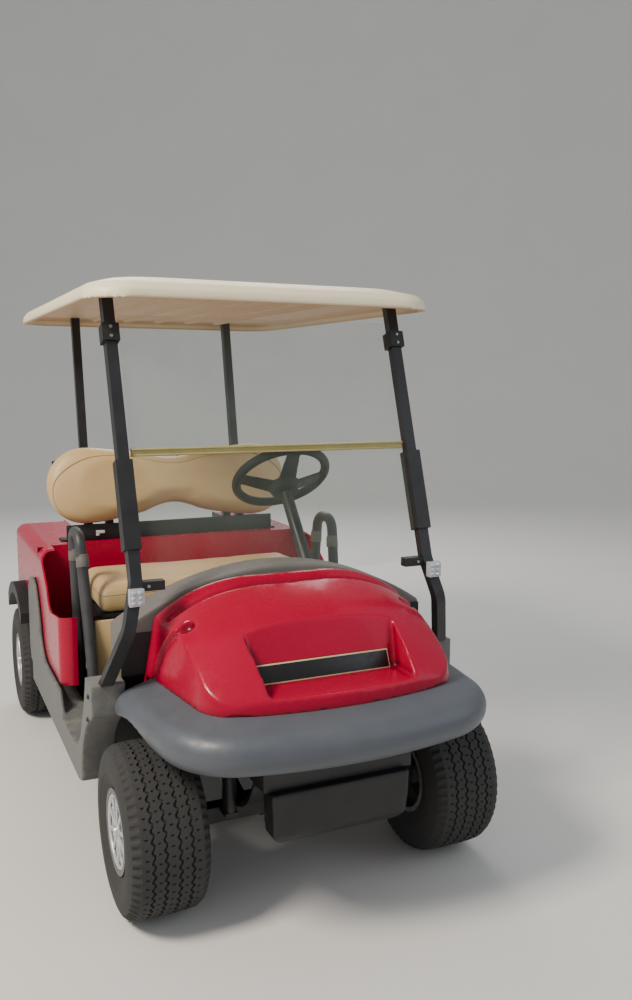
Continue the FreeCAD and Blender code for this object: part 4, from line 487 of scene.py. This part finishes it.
# The channels in the cowl are cut by balls, set where rays meet it: one channel runs under the rim band
# from side to side. On each side one climbs from the foot, turns forwards and ends in a rounded dip.
cast_z, ball_lift = 1.2, 0.002
band_y, band_radius = -0.664, 0.012
foot_y, foot_z, run_ahead, climb, foot_radius, growth = -0.668, 0.618, 0.080, 0.134, 0.010, 0.004
dip_x, dip_y, dip_radius = 0.352, -0.748, 0.016
down = Vector((0, 0, -1))
casts = [(Vector((0.01 * step, band_y, cast_z)), down, band_radius) for step in range(-36, 37)]
for side in (-1, 1):
    for step in range(25):
        rise = step / 24
        start = Vector((side, foot_y - run_ahead * rise ** 2, foot_z + climb * rise))
        casts.append((start, Vector((-side, 0, 0)), foot_radius + growth * rise))
    for step in range(5):
        start = Vector((side * (dip_x - 0.004 * step), dip_y - 0.001 * step, cast_z))
        casts.append((start, down, dip_radius + 0.002 * step))
balls = []
for start, heading, radius in casts:
    met, point, normal, _ = cowl.ray_cast(start, heading)
    if met:
        balls.append(new_dome(point + normal * ball_lift, (radius * 2, radius * 2, radius * 2)))
activate(balls[0])
for ball in balls:
    ball.select_set(True)
bpy.ops.object.join()
channel = bpy.context.object
with_modifier(channel, "REMESH", mode="VOXEL", voxel_size=0.003, adaptivity=0)
with_modifier(channel, "SMOOTH", factor=0.5, iterations=6)
with_modifier(cowl, "BOOLEAN", operation="DIFFERENCE", object=channel, solver="EXACT")
bpy.data.objects.remove(channel)
with_modifier(cowl, "REMESH", mode="VOXEL", voxel_size=0.0048, adaptivity=0)
with_modifier(cowl, "SMOOTH", factor=0.5, iterations=5)
# Smoothing draws the foot up, so it is let down again into the bumper's edge.
hem_top, hem_height, hem_drop = 0.640, 0.030, 0.007
for point in cowl.data.vertices:
    point.co.z -= hem_drop * min(1, max(0, (hem_top - point.co.z) / hem_height))
smooth_shaded(cowl, 60)
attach(cowl, "chassis")
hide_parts("front_cowl")

# Name plate: a bare, thin aluminium plate with a printed rim, stuck to the leaning face of the cowl's
# recess. Anodising makes it black and half glossy; the rim is a flat beige, a little uneven.
plate_black, place, surface = new_material("black_anodised_plate", "0C0C0D", roughness=0.35, ior=1.5)
weathered(plate_black, place, surface, gloss=(20, 0.28, 0.45))
plate_rim, place, surface = new_material("beige_printed_rim", "C9B48A", roughness=0.45, ior=1.5)
weathered(plate_rim, place, surface, tones=(12, "BDA87E", "D2BE95"))
plate_lean = 24
plate_spot = Vector((-0.006, -0.9145, 0.664))
outward = Vector((0, -math.cos(math.radians(plate_lean)), math.sin(math.radians(plate_lean))))
for name, out, size, material, round_mm in (("plate_rim", 0.001, (0.388, 0.005, 0.053), plate_rim, 1.2),
                                            ("plate_face", 0.0025, (0.380, 0.005, 0.045), plate_black, 0.8)):
    plate = new_block(plate_spot + outward * out, size, (-plate_lean, 0, 0))
    finished(name, [plate], material, "chassis", round_mm)

# Bumper, dash, rockers and lower cover: thermoplastic mouldings, thick and round at every edge, screwed
# to the frame and the floor pan.


def moulded(name, node, material, grain_mm, passes, body, kept=1.0):
    """A moulded shell in place of a solid: its edges are rounded as they leave the mould."""
    piece = freed(name, node, material)
    with_modifier(piece, "REMESH", mode="VOXEL", voxel_size=grain_mm / 1000, adaptivity=0)
    with_modifier(piece, "SMOOTH", factor=0.5, iterations=passes)
    if kept < 1:
        with_modifier(piece, "DECIMATE", ratio=kept)
    smooth_shaded(piece, 60)
    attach(piece, body)
    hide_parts(node)


# The bumper's satin skin is blue grey and catches a soft light; sun and washing leave it uneven.
grey_satin, place, surface = new_material("grey_satin_thermoplastic", "4B5056", roughness=0.45, ior=1.48)
weathered(grey_satin, place, surface, tones=(120, "484D54", "575C63"), gloss=(30, 0.36, 0.52),
          grain=(1.5, 0.05, 1))
moulded("bumper_shell", "front_bumper", grey_satin, 5, 8, "chassis")
# The dash's grained skin is a warmer and duller grey.
dash_grey, place, surface = new_material("warm_grey_dash_plastic", "66625E", roughness=0.6, ior=1.48)
weathered(dash_grey, place, surface, tones=(90, "5E5A57", "6E6A66"), gloss=(25, 0.52, 0.68),
          grain=(1.4, 0.08, 1))
moulded("dash_shell", "dash", dash_grey, 5, 3, "chassis", 0.6)
# The sills are scuffed by shoes: chalky scrapes, paler and duller than the grey between them.
sill_grey, place, surface = new_material("scuffed_grey_sill", "53575A", roughness=0.62, ior=1.48)
weathered(sill_grey, place, surface, grain=(4, 0.1, 3))
scrapes = add_node(sill_grey, "ShaderNodeTexNoise", {"Vector": place, "Scale": 1000 / 35, "Detail": 6,
                                                     "Roughness": 0.6}).outputs["Fac"]
chalk = add_node(sill_grey, "ShaderNodeMapRange", {"Value": scrapes, "From Min": 0.3, "From Max": 0.7})
chalky = add_node(sill_grey, "ShaderNodeMix", {0: chalk.outputs["Result"], 6: linear("54585B"),
                                               7: linear("73726C")}, data_type="RGBA")
dulled = add_node(sill_grey, "ShaderNodeMapRange", {"Value": scrapes, "From Min": 0.3, "From Max": 0.7,
                                                    "To Min": 0.45, "To Max": 0.75})
feed(sill_grey, surface, base_color=chalky.outputs[2], roughness=dulled.outputs["Result"])
moulded("rocker_skins", "rocker_panels", sill_grey, 5.5, 3, "chassis", 0.45)
moulded("lower_cover_shell", "front_lower_cover", black_plastic, 5, 6, "chassis")

# Push fasteners: two flat black plastic heads on each flap beside the bumper, pressed through flap and
# bumper where they overlap, each with a pin in its middle.
# A head and its pin: distance from the cart's middle, radius, radius at the tip, depth, sides.
fastener_steps = ((0.5735, 0.008, 0.006, 0.005, 40), (0.5755, 0.0035, 0.003, 0.004, 20))
for side, label in ((-1, "right"), (1, "left")):
    parts = []
    for along, height in ((-0.600, 0.560), (-0.585, 0.490)):
        for reach, radius, tip, depth, sides in fastener_steps:
            parts.append(new_round((side * reach, along, height), radius, depth, (side, 0, 0), tip=tip,
                                   sides=sides))
    finished("flap_fasteners_" + label, parts, black_plastic, "chassis", 0.6)

# Key switch and drive selector: a zinc barrel with its key slot, and a black rocker with a ribbed cap,
# both pressed into the middle of the dash's rear face.
# Zinc plating is a grey, half-dull metal, blotched by fingers and weather.
zinc, place, surface = new_material("zinc_plated_steel", "9A9C9E", metallic=0.9, roughness=0.35)
weathered(zinc, place, surface, gloss=(8, 0.28, 0.5))
panel_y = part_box("dash")[1].y
key_x, selector_x, switch_z = 0.05, 0.13, 0.752
barrel = new_round((key_x, panel_y + 0.003, switch_z), 0.013, 0.010, (0, 1, 0), tip=0.0115)
slot_rim = new_block((key_x, panel_y + 0.009, switch_z), (0.003, 0.004, 0.012))
finished("key_switch", [barrel, slot_rim], zinc, "chassis", 0.7)
selector = [new_block((selector_x, panel_y + 0.003, switch_z), (0.046, 0.008, 0.066))]
for step in range(5):
    rib_z = switch_z - 0.016 + 0.008 * step
    selector.append(new_block((selector_x, panel_y + 0.009, rib_z), (0.028, 0.006, 0.003)))
finished("drive_selector", selector, black_plastic, "chassis", 0.8)

# Under the seat back: a black plastic panel with a foot along the deck closes the gap between deck and
# cushion. A small latch of white nylon, slightly yellowed in spots, is fixed to its face.
white_nylon, place, surface = new_material("white_nylon_latch", "D9D8D2", roughness=0.5, ior=1.5)
weathered(white_nylon, place, surface, tones=(15, "CFCEC8", "E2E1DC"))
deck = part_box("rear_body")[1].z
panel_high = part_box("seat_back_cushion")[0].z + 0.016
panel_mid = (deck + panel_high) / 2
finished("back_support_panel", [new_block((0, 0.566, panel_mid), (0.86, 0.012, panel_high - deck)),
                                new_block((0, 0.600, deck + 0.003), (0.90, 0.070, 0.006))],
         black_plastic, "chassis", 2.5)
finished("back_latch", [new_block((-0.300, 0.557, panel_mid), (0.034, 0.008, 0.012)),
                        new_block((-0.311, 0.557, panel_mid - 0.008), (0.012, 0.008, 0.014))],
         white_nylon, "chassis", 1.2)

# Hip restraints: a hoop of bent steel tube in a hard plastic sleeve on each side of the seat, bolted to
# the cart, with a moulded joint where each leg bends into the top.
# The sleeve's black is drawn as a dark grey, partly faded and partly a painted sheen,
# in paler and duller patches.
faded_and_sheen_grey, place, surface = new_material("black_tube_sleeve_faded_with_painted_sheen", "34363A", roughness=0.5, ior=1.5)
weathered(faded_and_sheen_grey, place, surface, tones=(70, "26282B", "4A4B4D"), gloss=(70, 0.42, 0.66), grain=(2, 0.1, 3))
moulded("hip_hoops", "hip_restraints", faded_and_sheen_grey, 3.5, 3, "chassis")
hoop_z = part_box("hip_restraints")[1].z - 0.019
hoop_x, leg_lean, leg_rise, bend_drop = 0.470, 0.022, 0.599, 0.090
for side, label in ((-1, "right"), (1, "left")):
    joint = []
    for foot_y, top_y in ((-0.066, 0.044), (0.206, 0.168)):
        run = Vector((side * leg_lean, top_y - foot_y, leg_rise)).normalized()
        bend = Vector((side * hoop_x, top_y, hoop_z)) - run * bend_drop
        joint.append(new_round(bend, 0.0225, 0.034, run, tip=0.0215))
        joint.append(new_round(bend + run * 0.021, 0.0205, 0.010, run, tip=0.0195))
    finished("hoop_joints_" + label, joint, dash_grey, "chassis", 1.0)

# Seat: foam cushions in tan vinyl, stretched over a board and stitched. The vinyl swells between its
# sewn edges, so each cushion is inflated from its solid; the seat keeps its flat underside.


def stuffed(name, node, cap_mm, passes, body, floor_z=None):
    """An inflated cushion in place of its solid; no point swells by more than the cap."""
    piece = freed(name, node, tan_vinyl)
    low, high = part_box(node)
    bpy.ops.object.mode_set(mode="EDIT")
    bpy.ops.mesh.select_all(action="SELECT")
    bpy.ops.transform.resize(value=(0.985, 0.94, 0.94), center_override=(low + high) / 2)
    bpy.ops.object.mode_set(mode="OBJECT")
    with_modifier(piece, "REMESH", mode="VOXEL", voxel_size=0.008, adaptivity=0)
    with_modifier(piece, "SMOOTH", factor=0.5, iterations=6)
    frames = 20
    stage = bpy.context.scene
    stage.frame_start = 1
    stage.frame_end = frames
    cloth = piece.modifiers.new("cloth", "CLOTH")
    cloth.settings.use_pressure = True
    cloth.settings.uniform_pressure_force = 4
    cloth.settings.bending_stiffness = 15
    cloth.settings.effector_weights.gravity = 0
    cloth.point_cache.frame_start = 1
    cloth.point_cache.frame_end = frames
    for frame_number in range(1, frames + 1):
        stage.frame_set(frame_number)
    swollen = piece.evaluated_get(bpy.context.evaluated_depsgraph_get())
    places_now = [point.co.copy() for point in swollen.data.vertices]
    piece.modifiers.remove(cloth)
    stage.frame_set(1)
    for point, moved in zip(piece.data.vertices, places_now):
        step = moved - point.co
        if step.length > cap_mm / 1000:
            step *= cap_mm / 1000 / step.length
        point.co += step
    if floor_z is not None:
        for point in piece.data.vertices:
            point.co.z = max(point.co.z, floor_z)
    with_modifier(piece, "SMOOTH", factor=0.5, iterations=passes)
    with_modifier(piece, "SUBSURF", levels=1, render_levels=1)
    smooth_shaded(piece, 60)
    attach(piece, body)
    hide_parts(node)


# Seat vinyl: warm tan with a faint sheen and shallow dents where the foam gives. Its pebbled grain is
# 1 mm in life and is drawn at 2.2 mm, so that it shows.
tan_vinyl, place, surface = new_material("tan_seat_vinyl", "C2A473", roughness=0.46, ior=1.5,
                                         sheen_weight=0.1)
weathered(tan_vinyl, place, surface, tones=(140, "BC9E6D", "C9AC7C"), gloss=(30, 0.4, 0.54))
plain_tan = surface.inputs["Base Color"].links[0].from_socket
# The stitched seams are dark lines: one round the side of the back, one round the seat under its top.
back_seam_y, back_from_z, seat_seam_z, seam_half = 0.550, 0.8, 0.686, 0.0012
axes = add_node(tan_vinyl, "ShaderNodeSeparateXYZ", {"Vector": place}).outputs
on_back = add_node(tan_vinyl, "ShaderNodeMath", {0: axes["Z"], 1: back_from_z}, operation="GREATER_THAN")
back_line = add_node(tan_vinyl, "ShaderNodeMath", {0: axes["Y"], 1: back_seam_y, 2: seam_half},
                     operation="COMPARE")
back_seam = add_node(tan_vinyl, "ShaderNodeMath", {0: on_back.outputs[0], 1: back_line.outputs[0]},
                     operation="MULTIPLY")
seat_seam = add_node(tan_vinyl, "ShaderNodeMath", {0: axes["Z"], 1: seat_seam_z, 2: seam_half},
                     operation="COMPARE")
seam = add_node(tan_vinyl, "ShaderNodeMath", {0: back_seam.outputs[0], 1: seat_seam.outputs[0]},
                operation="MAXIMUM")
stitched = add_node(tan_vinyl, "ShaderNodeMix", {0: seam.outputs[0], 6: plain_tan, 7: linear("7D6540")},
                    data_type="RGBA")
dents = add_node(tan_vinyl, "ShaderNodeTexNoise", {"Vector": place, "Scale": 1000 / 150, "Detail": 2,
                                                   "Roughness": 0.6})
soft = add_node(tan_vinyl, "ShaderNodeBump", {"Height": dents.outputs["Fac"], "Distance": 0.006,
                                              "Strength": 0.6})
pebbles = add_node(tan_vinyl, "ShaderNodeTexVoronoi", {"Vector": place, "Scale": 1000 / 2.2})
skin = add_node(tan_vinyl, "ShaderNodeBump", {"Height": pebbles.outputs["Distance"], "Distance": 0.00012,
                                              "Strength": 1.0, "Normal": soft.outputs["Normal"]})
feed(tan_vinyl, surface, base_color=stitched.outputs[2], normal=skin.outputs["Normal"])
stuffed("seat_pad", "seat_cushion", 12, 26, "seat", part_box("seat_cushion")[0].z)
stuffed("back_pad", "seat_back_cushion", 22, 14, "chassis")
skirt = freed("skirt_panel", "seat_skirt", tan_vinyl)
with_modifier(skirt, "BEVEL", width=0.004, segments=4, limit_method="ANGLE", angle_limit=math.radians(30))
smooth_shaded(skirt)
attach(skirt, "chassis")
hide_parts("seat_skirt")

# Canopy: one hollow moulding of cream plastic, ribbed beneath and screwed to the four struts. It has a
# washed-out film on top. Beneath, it is painted a warm tan: painted shade, warmed by the light that comes
# off the ground and the seat.
cream, place, surface = new_material("cream_moulded_canopy", "E6DAB9", roughness=0.42, ior=1.5)
weathered(cream, place, surface, tones=(200, "E0D3B0", "EBE0C3"), gloss=(40, 0.36, 0.52))
top_cream = surface.inputs["Base Color"].links[0].from_socket
# Painted shade: faces that look down are mixed towards tan.
face_normal = add_node(cream, "ShaderNodeNewGeometry", {}).outputs["Normal"]
slant = add_node(cream, "ShaderNodeSeparateXYZ", {"Vector": face_normal}).outputs["Z"]
upper = add_node(cream, "ShaderNodeMapRange", {"Value": slant, "From Min": -0.6, "From Max": -0.1})
cream_with_painted_underside_shade = add_node(cream, "ShaderNodeMix", {0: upper.outputs["Result"], 6: linear("BFA077"), 7: top_cream},
                     data_type="RGBA")
feed(cream, surface, base_color=cream_with_painted_underside_shade.outputs[2])
moulded("canopy_shell", "canopy", cream, 6.5, 3, "chassis", 0.3)

# Windscreen: two clear acrylic panes between the front struts, joined by an extruded vinyl hinge with
# two beads, about which the upper pane folds down.
# Acrylic is nearly invisible, with a faint haze in smears where it was wiped.
acrylic, place, surface = new_material("hazed_clear_acrylic", "93A293", roughness=0.05, ior=1.49, alpha=0.06)
weathered(acrylic, place, surface, gloss=(60, 0.03, 0.12))
smears = add_node(acrylic, "ShaderNodeTexNoise", {"Vector": place, "Scale": 1000 / 160, "Detail": 5,
                                                  "Roughness": 0.6})
haze = add_node(acrylic, "ShaderNodeMapRange", {"Value": smears.outputs["Fac"], "From Min": 0.3,
                                                "From Max": 0.7, "To Min": 0.03, "To Max": 0.09})
feed(acrylic, surface, alpha=haze.outputs["Result"])
paint("windscreen_lower", acrylic)
paint("windscreen_upper", acrylic)
# The hinge's clear vinyl has yellowed to a milky amber.
amber, place, surface = new_material("amber_vinyl_hinge", "A89E62", roughness=0.3, ior=1.5, alpha=0.85)
weathered(amber, place, surface, tones=(50, "9C9255", "B8AE74"))
paint("windscreen_hinge", amber)
low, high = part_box("windscreen_hinge")
beads = [new_round((0, low.y - 0.001, height), 0.0028, high.x - low.x, (1, 0, 0), sides=16)
         for height in (low.z + 0.003, high.z - 0.003)]
finished("hinge_beads", beads, amber, "chassis", 0.4)

# Strut clamps and foot clips: black nylon halves round each front strut, which hold the panes. Two zinc
# screws hold each upper clamp shut, and one each foot clip.
bend_x, bend_y, bend_z = 0.452, -0.668, 0.880
strut_lean, strut_spread, strut_rise = math.radians(18.72), 0.005, 0.817
square_to_strut = (0, -0.947, 0.321)
low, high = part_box("windscreen_clips")
head_z = high.z - 0.024
for side, label in ((-1, "right"), (1, "left")):
    strut_y = bend_y + (head_z - bend_z) * math.tan(strut_lean)
    strut_x = side * (bend_x + strut_spread * (head_z - bend_z) / strut_rise)
    screws = []
    for lift in (-0.013, 0.013):
        spot = Vector((strut_x, strut_y - 0.026 + lift * 0.33, head_z + lift))
        screws.append(new_round(spot, 0.0055, 0.005, square_to_strut, tip=0.0045, sides=24))
    foot = Vector((side * (high.x - 0.062), low.y - 0.001, low.z + 0.013))
    screws.append(new_round(foot, 0.005, 0.004, (0, -1, 0), tip=0.004, sides=24))
    finished("clamp_screws_" + label, screws, zinc, "chassis", 0.4)

# Marker lamps: a clear moulded block over six white diodes in two columns, on a narrower foot that is
# clipped to each strut.
# The lens is glossy and clear over bright diodes, so it reads as a pale glint with soft dots.
lens, place, surface = new_material("clear_lamp_lens", "D5DADF", roughness=0.12, ior=1.58,
                                    transmission_weight=0.35, metallic=0.15)
weathered(lens, place, surface, gloss=(6, 0.06, 0.2))
low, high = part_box("marker_lamps")
lamp_z = (low.z + high.z) / 2
parts = []
for side in (-1, 1):
    lamp_x = side * (high.x - 0.019)
    parts.append(new_block((lamp_x, low.y + 0.014, lamp_z), (0.040, 0.022, 0.046)))
    parts.append(new_block((lamp_x, low.y + 0.026, lamp_z), (0.030, 0.014, 0.034)))
    for column in (-0.009, 0.009):
        for row in (-0.014, 0, 0.014):
            parts.append(new_dome((lamp_x + column, low.y + 0.004, lamp_z + row), (0.015, 0.010, 0.0125)))
lamps = finished("marker_lamp_lenses", parts, lens, "chassis", 1.2)
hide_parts("marker_lamps")

# Steering wheel: soft black foam moulded over the steel rim, spokes and hub, which sit on the end of the
# column.
# The foam's skin is black and dull, polished by hands in places, with a fine pore.
grip, place, surface = new_material("black_foam_grip", "0E0F10", roughness=0.55, ior=1.5)
weathered(grip, place, surface, gloss=(25, 0.45, 0.65), grain=(1.8, 0.12, 1))
moulded("steering_wheel_skin", "steering_wheel", grip, 3, 5, "steering")

# Bag straps: woven polyester round the rack's bar, each with a moulded ladder buckle behind it and a tail
# that hangs down.
# Webbing looks black and cloth-dull. Its cords lie under 2 mm apart in life and are drawn at 4.7 mm.
cord_mm = 4.7374
webbing, place, surface = new_material("black_polyester_webbing", "1D1E20", roughness=0.85, ior=1.5,
                                       sheen_weight=0.25)
weave = add_node(webbing, "ShaderNodeTexWave", {"Vector": place, "Scale": 1000 / cord_mm * math.pi / 10},
                 bands_direction="Z").outputs["Fac"]
woven = add_node(webbing, "ShaderNodeMix", {0: weave, 6: linear("141516"), 7: linear("26272A")},
                 data_type="RGBA")
cords = add_node(webbing, "ShaderNodeBump", {"Height": weave, "Distance": 0.00035, "Strength": 1.0})
feed(webbing, surface, base_color=woven.outputs[2], normal=cords.outputs["Normal"])
low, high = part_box("bag_rack")
rack_z = (low.z + high.z) / 2
bar_back = low.y + 0.040
bar_mid = (low.y + bar_back) / 2
wide, thick = 0.038, 0.003
over_bar = bar_back - low.y + 0.006
for side, label in ((-1, "right"), (1, "left")):
    strap_x = side * 0.421
    band = [new_block((strap_x, low.y - thick / 2, rack_z), (wide, thick, 0.036)),
            new_block((strap_x, bar_back + thick / 2, rack_z), (wide, thick, 0.036)),
            new_block((strap_x, bar_mid, rack_z + 0.0165), (wide, over_bar, thick)),
            new_block((strap_x, bar_mid, rack_z - 0.0165), (wide, over_bar, thick)),
            new_block((strap_x, bar_back + 0.005, rack_z - 0.080), (wide, thick, 0.150), (3, 0, 0))]
    finished("bag_strap_" + label, band, webbing, "chassis", 0.8)
    buckle = [new_block((strap_x, bar_back + 0.009, rack_z + 0.010), (0.050, 0.008, 0.008)),
              new_block((strap_x, bar_back + 0.009, rack_z - 0.024), (0.050, 0.008, 0.008))]
    for edge in (-0.022, 0.022):
        buckle.append(new_block((strap_x + edge, bar_back + 0.009, rack_z - 0.007), (0.008, 0.010, 0.042)))
    buckle.append(new_block((strap_x, bar_back + 0.011, rack_z - 0.006), (0.044, 0.006, 0.010), (12, 0, 0)))
    finished("strap_buckle_" + label, buckle, black_plastic, "chassis", 1.2)
